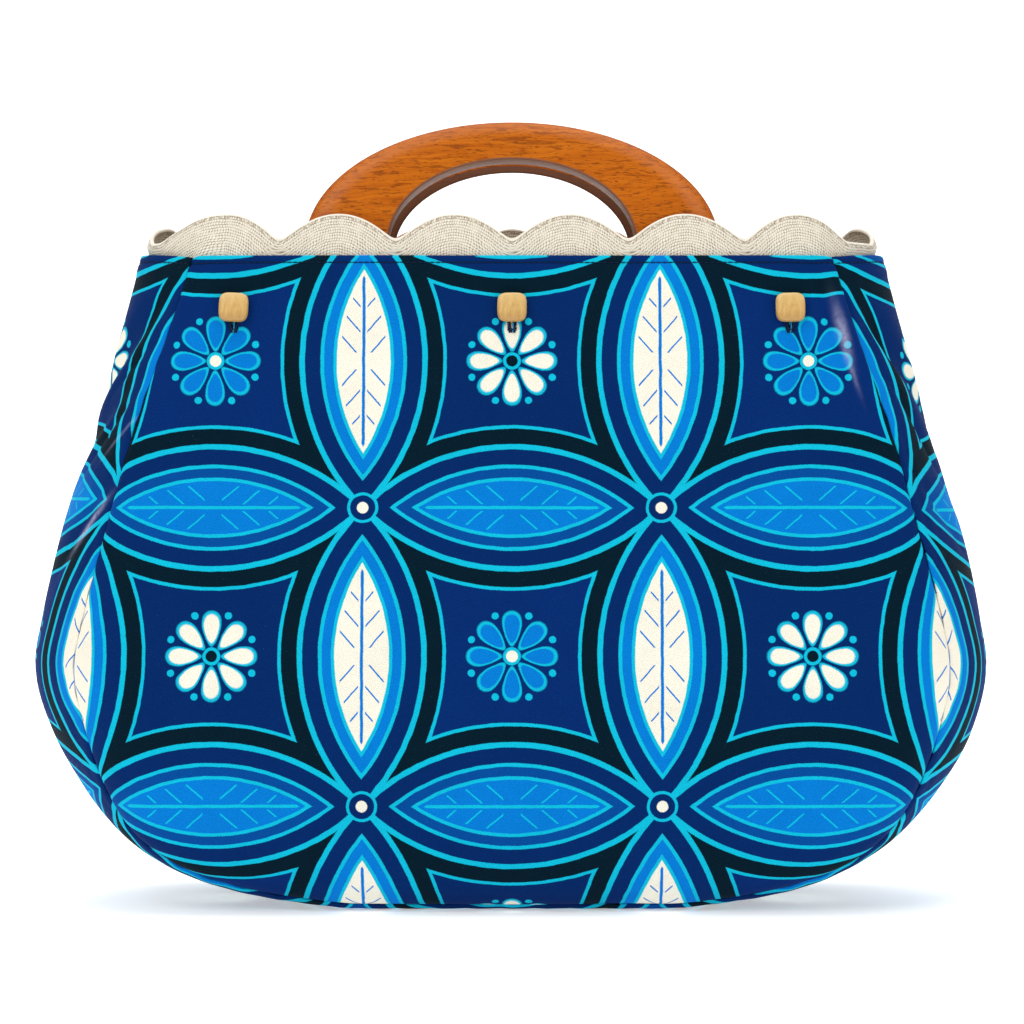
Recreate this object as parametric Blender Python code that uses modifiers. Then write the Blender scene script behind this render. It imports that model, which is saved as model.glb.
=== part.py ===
"""Handbag with two wooden handles: a linen purse with a scalloped braid round its rim, and a printed
canvas cover that is buttoned on round the purse.

Metres. X runs along the bag, the front faces -Y, Z is up, and the bag stands on Z = 0.
"""

import math
from collections import namedtuple

import bmesh
import bpy
import numpy as np
from mathutils import Matrix

# Cover
COVER_HEIGHT = 0.2306
SEAM_HALF_WIDTH = 0.154
HALF_DEPTH = 0.056
GUSSET_BULGE = 0.0205
SEAM_ROLL = 0.0014
CANVAS = 0.0016
SEAM_GAP = 0.0005
PURSE_SEAM_LAP = 0.0022

# Purse, braid and the clearance between neighbours
LINEN = 0.0015
BRAID = 0.0015
CLEARANCE = 0.0003
END_CLEARANCE = 0.0005
PURSE_ABOVE_COVER = 0.0035
RIM_LEAN = math.radians(8.0)
RIM_RISE = 0.0022
RIM_RISE_REACH = 0.040

# Scallops
CREST_ABOVE_COVER = 0.0150
VALLEY_ABOVE_COVER = 0.0058
BRAID_BELOW_COVER = 0.0105
VALLEY_ROUNDING = 0.13
EAR_LEAN = 0.0039
END_FLARE = 0.0016
END_FLARE_REACH = 0.0035

# Handles
HANDLE_HALF_WIDTH = 0.0736
ARCH_RISE = 0.0443
GRIP_HALF_WIDTH = 0.0437
GRIP_RISE = 0.0302
ARCH_ABOVE_COVER = 0.0053
BAR_BELOW_COVER = 0.0177
BAR_HEIGHT = 0.0150
BAR_CORNER = 0.0090
GRIP_CORNER = 0.0050
HANDLE_THICKNESS = 0.0100
HANDLE_EDGE = 0.0016
ARCH_STEPS = 24
LOOP_HALF_WIDTH = 0.0360
LOOP_CLOTH = 0.0012

# Buttons
BUTTON_SIDE = 0.0104
BUTTON_CORNER = 0.0030
BUTTON_THICKNESS = 0.0036
BUTTON_EDGE = 0.0011
BUTTON_BELOW_COVER = 0.0190
BUTTON_SPACING = 0.0977
SHANK_RADIUS = 0.0013
BUTTONHOLE_LENGTH = 0.0120
BUTTONHOLE_WIDTH = 0.0036
BUTTONHOLE_CORNER = 0.0016

# The seam between a panel and the gusset, from the corner of the rim down to the middle of the bottom.
# across: share of SEAM_HALF_WIDTH. up: share of the height from the bottom seam to the rim.
# bulge: share of GUSSET_BULGE, 0 where only SEAM_ROLL is left. flat: share of the gusset that is flat.
# depth: seam's distance from the middle plane, share of HALF_DEPTH.
Station = namedtuple("Station", "across up bulge flat depth")
SEAM_STATIONS = (
    Station(across=0.737, up=1.000, bulge=1.00, flat=0.00, depth=0.530),
    Station(across=0.800, up=0.867, bulge=0.95, flat=0.00, depth=0.616),
    Station(across=0.873, up=0.718, bulge=0.87, flat=0.00, depth=0.696),
    Station(across=0.932, up=0.570, bulge=0.94, flat=0.00, depth=0.750),
    Station(across=0.982, up=0.439, bulge=0.90, flat=0.00, depth=0.777),
    Station(across=1.000, up=0.365, bulge=0.87, flat=0.00, depth=0.786),
    Station(across=0.977, up=0.282, bulge=0.76, flat=0.10, depth=0.786),
    Station(across=0.932, up=0.190, bulge=0.45, flat=0.30, depth=0.768),
    Station(across=0.854, up=0.106, bulge=0.16, flat=0.55, depth=0.732),
    Station(across=0.701, up=0.043, bulge=0.03, flat=0.75, depth=0.705),
    Station(across=0.506, up=0.012, bulge=0.01, flat=0.85, depth=0.688),
    Station(across=0.338, up=0.000, bulge=0.00, flat=0.85, depth=0.679),
    Station(across=0.000, up=0.000, bulge=0.00, flat=0.85, depth=0.679),
)
CORNER_STATION = 8

# Half depth of the bag along its middle, from the bottom to the rim, as shares of COVER_HEIGHT and
# HALF_DEPTH. Above the last row the wall goes on straight at RIM_LEAN.
Depth = namedtuple("Depth", "up depth")
MIDDLE_DEPTHS = (
    Depth(up=0.000, depth=0.875),
    Depth(up=0.130, depth=0.973),
    Depth(up=0.260, depth=1.000),
    Depth(up=0.370, depth=0.978),
    Depth(up=0.520, depth=0.900),
    Depth(up=0.720, depth=0.764),
    Depth(up=0.867, depth=0.683),
    Depth(up=1.000, depth=0.607),
)

# Soft folds of the gusset. side: -1 left, 1 right. across: from the front seam (-1) to the back seam (1).
# up: share of COVER_HEIGHT. tilt: degrees from level. length, width and drop: shares of GUSSET_BULGE.
Fold = namedtuple("Fold", "side across up tilt length width drop")
GUSSET_FOLDS = (
    Fold(side=-1, across=-0.45, up=0.86, tilt=-48, length=1.30, width=0.24, drop=0.16),
    Fold(side=-1, across=-0.40, up=0.75, tilt=-42, length=1.30, width=0.26, drop=0.14),
    Fold(side=-1, across=0.45, up=0.80, tilt=45, length=1.20, width=0.30, drop=0.12),
    Fold(side=1, across=-0.50, up=0.84, tilt=-58, length=1.50, width=0.26, drop=0.14),
    Fold(side=1, across=0.40, up=0.72, tilt=44, length=1.30, width=0.30, drop=0.12),
)

# Grid lines of the cover, as shares: PANEL_COLUMNS from the middle to the side seam, PANEL_ROWS from the
# rim to the bottom seam, GUSSET_COLUMNS from the middle of the gusset to its seam.
PANEL_COLUMNS = (0.0, 0.18, 0.36, 0.53, 0.68, 0.80, 0.89, 0.95, 0.984, 1.0)
PANEL_ROWS = (0.0, 0.07, 0.15, 0.24, 0.34, 0.45, 0.56, 0.67, 0.77, 0.86, 0.925, 0.968, 0.99, 1.0)
GUSSET_COLUMNS = (0.0, 0.30, 0.58, 0.80, 0.92, 1.0)
BOTTOM_BLEND = 3.0

# Levels of the purse below its rim. up: share of COVER_HEIGHT. As shares of HALF_DEPTH, face and end: how
# far the purse stands in from the cover's outer face and from its ends, lift: how far it stands above it.
Level = namedtuple("Level", "up face end lift")
PURSE_LEVELS = (
    Level(up=0.860, face=0.066, end=0.110, lift=0.00),
    Level(up=0.660, face=0.075, end=0.150, lift=0.00),
    Level(up=0.470, face=0.080, end=0.130, lift=0.00),
    Level(up=0.300, face=0.080, end=0.120, lift=0.02),
    Level(up=0.170, face=0.080, end=0.120, lift=0.06),
    Level(up=0.090, face=0.085, end=0.140, lift=0.075),
    Level(up=0.040, face=0.095, end=0.200, lift=0.070),
)
PURSE_BOTTOM_SHARE = 0.62

# Half scallops round the rim, each between a valley and a crest, from the valley at the left end of the
# front. length: share of the rim. fall: share of the length that isn't level. top: share of
# CREST_ABOVE_COVER. The front has six scallops, the two bag's ends an ear each, and the back seven.
Half = namedtuple("Half", "count length fall top")
HALF_SCALLOPS = (
    Half(count=1, length=0.0594, fall=0.866, top=1.000),
    Half(count=1, length=0.0324, fall=1.000, top=1.000),
    Half(count=8, length=0.0349, fall=1.000, top=1.000),
    Half(count=1, length=0.0324, fall=1.000, top=1.000),
    Half(count=1, length=0.0594, fall=0.600, top=1.000),
    Half(count=2, length=0.0335, fall=1.000, top=0.907),
    Half(count=14, length=0.0288, fall=1.000, top=1.000),
    Half(count=2, length=0.0335, fall=1.000, top=0.907),
)
FIRST_VALLEY = -0.2314
SCALLOP_FACET = 0.0085
PURSE_STEPS = (6, 3)
RIM_STEPS = (8, 8)

SEAM_SAMPLES = 600
SLOPE_STEP = 0.0005


def monotone(knots, values, at):
    """Smooth curve through the values that never swings past them."""
    knots, values, at = (np.asarray(v, float) for v in (knots, values, at))
    steps = np.diff(knots)
    slopes = np.diff(values) / steps
    tangents = np.zeros(len(knots))
    rising = slopes[:-1] * slopes[1:] > 0
    near, far = 2 * steps[1:] + steps[:-1], steps[1:] + 2 * steps[:-1]
    safe = np.where(rising, slopes[:-1] * slopes[1:], 1.0)
    mixed = (near + far) * safe / np.where(rising, near * slopes[1:] + far * slopes[:-1], 1.0)
    tangents[1:-1] = np.where(rising, mixed, 0.0)
    tangents[0], tangents[-1] = slopes[0], slopes[-1]
    index = np.clip(np.searchsorted(knots, at, side="right") - 1, 0, len(steps) - 1)
    step = steps[index]
    t = np.clip((at - knots[index]) / step, 0.0, 1.0)
    start = (1 + 2 * t) * (1 - t) ** 2 * values[index] + t * (1 - t) ** 2 * step * tangents[index]
    end = t * t * (3 - 2 * t) * values[index + 1] - t * t * (1 - t) * step * tangents[index + 1]
    return start + end


class Seam:
    """The right-hand seam, sampled from the corner of the rim to the middle of the bottom."""

    def __init__(self):
        rows = np.array(SEAM_STATIONS)
        x = rows[:, 0] * SEAM_HALF_WIDTH
        z = SEAM_ROLL + rows[:, 1] * (COVER_HEIGHT - SEAM_ROLL)
        knots = np.concatenate([[0.0], np.cumsum(np.hypot(np.diff(x), np.diff(z)))])
        self.corner = knots[CORNER_STATION]
        self.length = knots[-1]
        self.at = np.linspace(0.0, self.length, SEAM_SAMPLES)
        self.x = monotone(knots, x, self.at)
        self.z = monotone(knots, z, self.at)
        self.bulge = SEAM_ROLL + monotone(knots, rows[:, 2], self.at) * (GUSSET_BULGE - SEAM_ROLL)
        self.flat = monotone(knots, rows[:, 3], self.at)
        self.depth = monotone(knots, rows[:, 4], self.at) * HALF_DEPTH

    def read(self, column, along):
        return np.interp(along, self.at, getattr(self, column))

    def half_width(self, z):
        """Half width between the seams at a height."""
        return float(np.interp(z, self.z[::-1], self.x[::-1]))

    def along_at(self, z):
        return float(np.interp(z, self.z[::-1], self.at[::-1]))

    def outward(self, along):
        """Direction in X and Z that the gusset bulges in: level above the widest place."""
        before, after = max(along - SLOPE_STEP, 0.0), min(along + SLOPE_STEP, self.length)
        run_x = self.read("x", after) - self.read("x", before)
        run_z = self.read("z", after) - self.read("z", before)
        normal = np.array([-run_z, min(run_x, 0.0)])
        return normal / np.linalg.norm(normal)

    def nearest(self, x, z):
        """Distance from a point of the panel to the seam, and the place along it."""
        start = np.stack([self.x[:-1], self.z[:-1]], axis=1)
        run = np.stack([np.diff(self.x), np.diff(self.z)], axis=1)
        away = np.array([abs(x), z]) - start
        share = np.clip((away * run).sum(axis=1) / (run * run).sum(axis=1), 0.0, 1.0)
        distance = np.linalg.norm(away - share[:, None] * run, axis=1)
        best = int(np.argmin(distance))
        along = self.at[best] + share[best] * (self.at[best + 1] - self.at[best])
        return float(distance[best]), float(along)


SEAM = Seam()


def middle_depth(z):
    rows = np.array(MIDDLE_DEPTHS)
    above = max(z - COVER_HEIGHT, 0.0)
    inside = monotone(rows[:, 0] * COVER_HEIGHT, rows[:, 1] * HALF_DEPTH, min(z, COVER_HEIGHT))
    return float(inside) - above * math.tan(RIM_LEAN)


def panel_depth(x, z):
    """Distance of a panel's outer face from the middle plane. It rolls over to meet the gusset."""
    above = max(z - COVER_HEIGHT, 0.0)
    distance, along = SEAM.nearest(x, min(z, COVER_HEIGHT))
    middle = middle_depth(min(z, COVER_HEIGHT))
    edge = float(SEAM.read("depth", along))
    turn = 2.0 * float(SEAM.read("bulge", along)) / (1.0 - float(SEAM.read("flat", along)))
    roll = edge / turn / (middle - edge)
    return middle - (middle - edge) * math.exp(-roll * distance) - above * math.tan(RIM_LEAN)


def fold_drop(side, across, z, depth):
    """How far the gusset is drawn in by its folds."""
    drop = 0.0
    for fold in GUSSET_FOLDS:
        if fold.side != side:
            continue
        run_y = (across - fold.across) * depth
        run_z = z - fold.up * COVER_HEIGHT
        tilt = math.radians(fold.tilt)
        along = (run_y * math.cos(tilt) + run_z * math.sin(tilt)) / (fold.length * GUSSET_BULGE)
        beside = (run_z * math.cos(tilt) - run_y * math.sin(tilt)) / (fold.width * GUSSET_BULGE)
        drop += fold.drop * GUSSET_BULGE * math.exp(-along * along - beside * beside)
    return drop * (1.0 - across**6)


def gusset_point(side, along, across):
    """Point of the gusset's outer face, across running from the front seam (-1) to the back seam (1)."""
    x, z, bulge, flat, depth = (float(SEAM.read(c, along)) for c in ("x", "z", "bulge", "flat", "depth"))
    outward = SEAM.outward(along)
    rolled = max(abs(across) - flat, 0.0) / (1.0 - flat)
    out = bulge * (1.0 - rolled**2) - fold_drop(side, across, z, depth)
    rise = RIM_RISE * (1.0 - across**2) * max(1.0 - along / RIM_RISE_REACH, 0.0)
    return (side * (x + outward[0] * out), depth * across, z + outward[1] * out + rise)


def panel_grid():
    """Places in X and Z of the right half of a panel, row by row from the rim down."""
    corner_x, corner_z = SEAM.read("x", SEAM.corner), SEAM.read("z", SEAM.corner)
    rows = []
    for v in PANEL_ROWS:
        side_x, side_z = SEAM.read("x", v * SEAM.corner), SEAM.read("z", v * SEAM.corner)
        row = []
        for u in PANEL_COLUMNS:
            bottom = SEAM.corner + (1.0 - u) * (SEAM.length - SEAM.corner)
            blend = v**BOTTOM_BLEND
            x = u * side_x + blend * (SEAM.read("x", bottom) - u * corner_x)
            row.append((float(x), float(side_z + blend * (SEAM.read("z", bottom) - corner_z))))
        rows.append(row)
    return rows


def level_section(z, face, end, steps):
    """Closed level loop at the height z, drawn in from the cover's outer face by face in Y and end in X.

    It runs from the middle of the front to the right, with steps on each half of a face and of an end.
    """
    face_steps, end_steps = steps
    inside = min(z, COVER_HEIGHT)
    width = SEAM.half_width(inside)
    along = SEAM.along_at(inside)
    bulge = float(SEAM.read("bulge", along)) * SEAM.outward(along)[0]
    depth = float(SEAM.read("depth", along)) - (z - inside) * math.tan(RIM_LEAN)
    quarter = []
    for step in range(face_steps):
        x = width * math.sin(0.5 * math.pi * step / face_steps)
        quarter.append((x, panel_depth(x, z) - face))
    for step in range(end_steps + 1):
        across = 1.0 - step / end_steps
        quarter.append((width + bulge * (1.0 - across**2), (depth - face) * across))
    right = [(x, -y) for x, y in quarter] + [(x, y) for x, y in reversed(quarter[:-1])]
    right = np.array(right) * [1.0 - end / (width + bulge), 1.0]
    left = right[-2:0:-1] * [-1.0, 1.0]
    return np.concatenate([right, left])


def rim_inset(layers):
    """How far in from the cover's outer face the outer face of a layer at the rim lies."""
    return (layers + CLEARANCE) / math.cos(RIM_LEAN)


BRAID_INSET = rim_inset(CANVAS)
PURSE_INSET = rim_inset(CANVAS + CLEARANCE + BRAID)
HANDLE_INSET = rim_inset(CANVAS + CLEARANCE + BRAID + CLEARANCE + LINEN)


def plain_material(name, colour, roughness):
    material = bpy.data.materials.new(name)
    material.use_nodes = True
    shader = material.node_tree.nodes["Principled BSDF"]
    shader.inputs["Base Color"].default_value = (*colour, 1.0)
    shader.inputs["Roughness"].default_value = roughness
    shader.inputs["Metallic"].default_value = 0.0
    return material


def new_object(name, data, collection, material=None):
    made = bpy.data.objects.new(name, data)
    collection.objects.link(made)
    if material:
        data.materials.append(material)
    return made


def grid_surface(name, rows, closed, collection, material):
    """Open surface lofted through rows of points, each row as long as the next."""
    net = bmesh.new()
    points = [[net.verts.new(p) for p in row] for row in rows]
    count = len(rows[0])
    for upper, lower in zip(points, points[1:]):
        for i in range(count if closed else count - 1):
            j = (i + 1) % count
            net.faces.new((upper[i], lower[i], lower[j], upper[j]))
    mesh = bpy.data.meshes.new(name)
    net.to_mesh(mesh)
    net.free()
    mesh.shade_smooth()
    return new_object(name, mesh, collection, material)


def solidify(target, thickness, even=False):
    """Gives the surface a wall on the side that its faces turn away from."""
    wall = target.modifiers.new("Wall", "SOLIDIFY")
    wall.thickness = thickness
    wall.offset = -1.0
    wall.use_even_offset = even


def drawn_back(edge, neighbour, distance):
    """The edge point moved towards its neighbour."""
    edge, neighbour = np.array(edge), np.array(neighbour)
    run = neighbour - edge
    return tuple(edge + run * distance / np.linalg.norm(run))


def trimmed(row, distance):
    """The row with both its ends drawn back from the seams."""
    first = drawn_back(row[0], row[1], distance)
    last = drawn_back(row[-1], row[-2], distance)
    return [first] + row[1:-1] + [last]


def cover_panel(name, facing, collection, material):
    """Front (facing -1) or back (facing 1) panel: its right half, mirrored, with a wall."""
    rows = [[(x, facing * panel_depth(x, z), z) for x, z in row] for row in panel_grid()]
    last = rows[-1]
    rows[-1] = [drawn_back(p, q, SEAM_GAP / 2) for p, q in zip(last[:-1], rows[-2][:-1])] + [last[-1]]
    for row, inner in zip(rows, rows[:-1] + [rows[-2]]):
        row[-1] = drawn_back(row[-1], inner[-2], SEAM_GAP / 2)
    if facing > 0:
        rows.reverse()
    panel = grid_surface(name, rows, False, collection, material)
    mirror = panel.modifiers.new("Mirror", "MIRROR")
    mirror.merge_threshold = 0.0001
    solidify(panel, CANVAS)
    return panel


def cover_gusset(name, collection, material):
    """One strip down the left side, under the bag and up the right side."""
    sides = [v * SEAM.corner for v in PANEL_ROWS]
    bottom = [SEAM.corner + (1.0 - u) * (SEAM.length - SEAM.corner) for u in reversed(PANEL_COLUMNS[:-1])]
    across = list(reversed(GUSSET_COLUMNS)) + [-c for c in GUSSET_COLUMNS[1:]]
    half = [(1, along) for along in sides + bottom]
    rows = []
    for side, along in [(-1, along) for _, along in half[:-1]] + half[::-1]:
        rows.append(trimmed([gusset_point(side, along, c) for c in across], SEAM_GAP / 2))
    gusset = grid_surface(name, rows, False, collection, material)
    solidify(gusset, CANVAS)
    return gusset


def purse_loops():
    """Level loops of the purse from its rim down to its flat bottom."""
    rim = (COVER_HEIGHT + PURSE_ABOVE_COVER, COVER_HEIGHT, COVER_HEIGHT - BRAID_BELOW_COVER)
    end = PURSE_INSET + 2 * END_CLEARANCE
    sections = [(z, level_section(z, PURSE_INSET, end, PURSE_STEPS)) for z in rim]
    for level in PURSE_LEVELS:
        face, end, lift = (share * HALF_DEPTH for share in (level.face, level.end, level.lift))
        z = level.up * COVER_HEIGHT
        sections.append((z + lift, level_section(z, face, end, PURSE_STEPS)))
    loops = [[(x, y, z) for x, y in loop] for z, loop in sections]
    floor = 2 * CLEARANCE + CANVAS
    loops.append([(x * PURSE_BOTTOM_SHARE, y * PURSE_BOTTOM_SHARE, floor) for x, y, _ in loops[-1]])
    return loops


def purse_panel(name, facing, collection, material):
    """Front or back of the linen purse."""
    rows = []
    for loop in purse_loops():
        right, left = loop[: PURSE_STEPS[0] + 1], loop[-PURSE_STEPS[0] :]
        rows.append([(x, -facing * y, z) for x, y, z in left + right])
    if facing > 0:
        rows.reverse()
    panel = grid_surface(name, rows, False, collection, material)
    solidify(panel, LINEN)
    return panel


def purse_gusset(name, collection, material):
    """Strip of the linen purse down its left end, along its bottom and up its right end."""
    loops = purse_loops()
    seam, end_steps = PURSE_STEPS
    right = [loop[seam : seam + 2 * end_steps + 1] for loop in loops]
    bottom = []
    for x, y, z in loops[-1][seam - 1 : 0 : -1]:
        shares = [1.0 - step / end_steps for step in range(2 * end_steps + 1)]
        bottom.append([(x, y * share, z) for share in shares])
    half = right + bottom
    rows = [[(-x, y, z) for x, y, z in row] for row in half] + half[::-1]
    rows = [trimmed(row[::-1], PURSE_SEAM_LAP) for row in rows]
    strip = grid_surface(name, rows, False, collection, material)
    solidify(strip, LINEN)
    return strip


def rim_loops():
    """The braid's outer face at three heights, each as points at equal shares of the way round."""
    heights = (COVER_HEIGHT - BRAID_BELOW_COVER, COVER_HEIGHT, COVER_HEIGHT + CREST_ABOVE_COVER)
    return [(z, level_section(z, BRAID_INSET, BRAID_INSET + END_CLEARANCE, RIM_STEPS)) for z in heights]


def round_the_rim(loop, share):
    """Point of a closed loop at a share of the way round from its first point."""
    closed = np.concatenate([loop, loop[:1]])
    ends = np.concatenate([[0.0], np.cumsum(np.linalg.norm(np.diff(closed, axis=0), axis=1))])
    at = share * ends[-1] % ends[-1]
    return np.interp(at, ends, closed[:, 0]), np.interp(at, ends, closed[:, 1])


def scallop_height(share, top):
    """Height of the braid's edge over the cover's, share running from the crest to the valley."""
    rise = max(1.0 - share * share, 0.0)
    full = math.hypot(1.0, VALLEY_ROUNDING) - VALLEY_ROUNDING
    arch = (math.hypot(rise, VALLEY_ROUNDING) - VALLEY_ROUNDING) / full
    return VALLEY_ABOVE_COVER + (top - VALLEY_ABOVE_COVER) * arch


def scalloped_edge():
    """Shares of the way round the rim, from the middle of the front, with the braid's height there."""
    halves = [half for half in HALF_SCALLOPS for _ in range(half.count)]
    start = FIRST_VALLEY
    edge = []
    for number, half in enumerate(halves):
        steps = round(half.length / SCALLOP_FACET)
        for step in range(steps):
            passed = step / steps
            from_crest = passed if number % 2 else 1.0 - passed
            height = scallop_height(from_crest / half.fall, half.top * CREST_ABOVE_COVER)
            edge.append((start + half.length * passed, height))
        start += half.length
    return edge


def end_lean(end, above):
    """How far the braid stands outwards at the bag's end: over the cover's edge first, then in again.

    end runs from 0 at the gusset's seam to 1 in its middle, where the cover's edge rises by RIM_RISE.
    """
    flare = min(max((above - end * RIM_RISE) / END_FLARE_REACH, 0.0), 1.0)
    return end * (END_FLARE * flare - EAR_LEAN * max(above / CREST_ABOVE_COVER, 0.0) ** 2)


def braid_point(loops, share, end, above):
    """Point of the braid's outer face at a share of the way round and a height over the cover."""
    z = COVER_HEIGHT + above
    points = [round_the_rim(loop, share) for _, loop in loops]
    x, y = (float(np.interp(z, [height for height, _ in loops], values)) for values in zip(*points))
    return (x + math.copysign(end_lean(end, above), x), y, z)


def scalloped_trim(name, collection, material):
    """The braid: a band round the purse's rim with a scalloped upper edge."""
    loops = rim_loops()
    corner = SEAM.half_width(COVER_HEIGHT)
    columns = []
    for share, height in scalloped_edge():
        end = max(abs(round_the_rim(loops[1][1], share)[0]) - corner, 0.0) / GUSSET_BULGE
        cover = end * RIM_RISE
        levels = (height, (height + cover) / 2, cover, -BRAID_BELOW_COVER)
        columns.append([braid_point(loops, share, end, above) for above in levels])
    trim = grid_surface(name, list(zip(*columns)), True, collection, material)
    solidify(trim, BRAID)
    return trim


def arc(centre_x, centre_y, radius_x, radius_y, start, end, steps):
    """Points of an elliptical arc, angles in degrees."""
    points = []
    for i in range(steps + 1):
        angle = math.radians(start + (end - start) * i / steps)
        points.append((centre_x + radius_x * math.cos(angle), centre_y + radius_y * math.sin(angle)))
    return points


def d_outline(half_width, rise, base, corner, steps):
    """Half an ellipse standing on a straight base with round corners."""
    right = arc(half_width - corner, base + corner, corner, corner, -90, 0, 3)
    left = arc(corner - half_width, base + corner, corner, corner, 180, 270, 3)
    return right + arc(0.0, 0.0, half_width, rise, 0, 180, steps) + left


def handle(name, facing, collection, material):
    """Wooden D, cut from a board, leaning with the purse's wall. Its own Y runs up the board."""
    curve = bpy.data.curves.new(name, "CURVE")
    curve.dimensions = "2D"
    curve.fill_mode = "BOTH"
    curve.extrude = HANDLE_THICKNESS / 2 - HANDLE_EDGE
    curve.bevel_depth = HANDLE_EDGE
    curve.bevel_resolution = 1
    curve.offset = -HANDLE_EDGE
    base = -ARCH_ABOVE_COVER - BAR_BELOW_COVER
    outlines = (
        d_outline(HANDLE_HALF_WIDTH, ARCH_RISE, base, BAR_CORNER, ARCH_STEPS),
        d_outline(GRIP_HALF_WIDTH, GRIP_RISE, base + BAR_HEIGHT, GRIP_CORNER, ARCH_STEPS),
    )
    for outline in outlines:
        spline = curve.splines.new("POLY")
        spline.points.add(len(outline) - 1)
        for point, (x, y) in zip(spline.points, outline):
            point.co = (x, y, 0.0, 1.0)
        spline.use_cyclic_u = True
    made = new_object(name, curve, collection, material)
    made.matrix_world = leaning(facing) @ Matrix.Translation((0.0, ARCH_ABOVE_COVER, HANDLE_THICKNESS / 2))
    return made


def leaning(facing):
    """Frame of the purse's inner wall at the rim: X along the bag, Y up the wall, Z into the bag."""
    face = middle_depth(COVER_HEIGHT) - HANDLE_INSET
    up = np.array([0.0, -facing * math.sin(RIM_LEAN), math.cos(RIM_LEAN)])
    into = np.array([0.0, -facing * math.cos(RIM_LEAN), -math.sin(RIM_LEAN)])
    frame = Matrix.Identity(4)
    frame[0][0] = facing
    for row in range(3):
        frame[row][1] = up[row]
        frame[row][2] = into[row]
    frame[1][3] = facing * face
    frame[2][3] = COVER_HEIGHT
    return frame


def handle_loop(name, facing, collection, material):
    """Cloth loop that goes from the purse's wall round the handle's bar, through the grip."""
    low = -BAR_BELOW_COVER - CLEARANCE - LOOP_CLOTH
    high = low + BAR_HEIGHT + 2 * (CLEARANCE + LOOP_CLOTH)
    far = HANDLE_THICKNESS + CLEARANCE + LOOP_CLOTH
    section = [(high, 0.0), (high, far), (low, far), (low, 0.0)]
    rows = []
    for y, z in section:
        rows.append([(x, y, z) for x in (-LOOP_HALF_WIDTH, LOOP_HALF_WIDTH)])
    loop = grid_surface(name, rows, False, collection, material)
    loop.data.shade_flat()
    loop.matrix_world = leaning(facing)
    solidify(loop, LOOP_CLOTH, even=True)
    return loop


def rounded_block(name, width, height, depth, corner, collection, material=None):
    """Block with its four long edges rounded, its depth along Y."""
    net = bmesh.new()
    bmesh.ops.create_cube(net, size=1.0, matrix=Matrix.Diagonal((width, depth, height, 1.0)))
    long_edges = [e for e in net.edges if abs(e.verts[0].co.y - e.verts[1].co.y) > depth / 2]
    bmesh.ops.bevel(net, geom=long_edges, offset=corner, segments=4, profile=0.5, affect="EDGES")
    mesh = bpy.data.meshes.new(name)
    net.to_mesh(mesh)
    net.free()
    return new_object(name, mesh, collection, material)


def as_cutter(target):
    target.hide_render = True
    target.display_type = "WIRE"
    return target


def boolean(target, other, operation):
    change = target.modifiers.new(operation.title(), "BOOLEAN")
    change.operation = operation
    change.solver = "EXACT"
    change.object = other


def button(number, facing, panel, collection, cutters, material):
    """Rounded square button with its shank through the buttonhole of the panel."""
    side = "front" if facing < 0 else "back"
    x = (number - 2) * BUTTON_SPACING
    z = COVER_HEIGHT - BUTTON_BELOW_COVER
    face = panel_depth(x, z)
    lean = Matrix.Rotation(facing * RIM_LEAN, 4, "X")
    place = Matrix.Translation((x, facing * face, z)) @ lean
    hole = (BUTTONHOLE_WIDTH, BUTTONHOLE_LENGTH, 4 * CANVAS, BUTTONHOLE_CORNER)
    slot = as_cutter(rounded_block(f"buttonhole_{side}_{number}", *hole, cutters))
    slot.matrix_world = place
    boolean(panel, slot, "DIFFERENCE")
    block = (BUTTON_SIDE, BUTTON_SIDE, BUTTON_THICKNESS, BUTTON_CORNER)
    made = rounded_block(f"button_{side}_{number}", *block, collection, material)
    made.matrix_world = place @ Matrix.Translation((0.0, facing * (CLEARANCE + BUTTON_THICKNESS / 2), 0.0))
    edge = made.modifiers.new("Edge", "BEVEL")
    edge.width = BUTTON_EDGE
    edge.segments = 2
    edge.limit_method = "ANGLE"
    edge.angle_limit = math.radians(60)
    wall = CANVAS + CLEARANCE + BRAID
    length = BUTTON_THICKNESS / 2 + CLEARANCE + wall
    net = bmesh.new()
    turn = Matrix.Rotation(math.radians(90), 4, "X")
    size = {"radius1": SHANK_RADIUS, "radius2": SHANK_RADIUS, "depth": length}
    bmesh.ops.create_cone(net, cap_ends=True, segments=10, matrix=turn, **size)
    mesh = bpy.data.meshes.new("shank")
    net.to_mesh(mesh)
    net.free()
    shank = as_cutter(new_object(f"shank_{side}_{number}", mesh, cutters))
    shank.matrix_world = place @ Matrix.Translation((0.0, facing * (length / 2 - wall), 0.0))
    boolean(made, shank, "UNION")
    made.data.shade_smooth()
    made.data.set_sharp_from_angle(angle=math.radians(40))
    return made


def clear_scene():
    for old in list(bpy.data.objects):
        bpy.data.objects.remove(old, do_unlink=True)


def new_collection(name):
    collection = bpy.data.collections.new(name)
    bpy.context.scene.collection.children.link(collection)
    return collection


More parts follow.
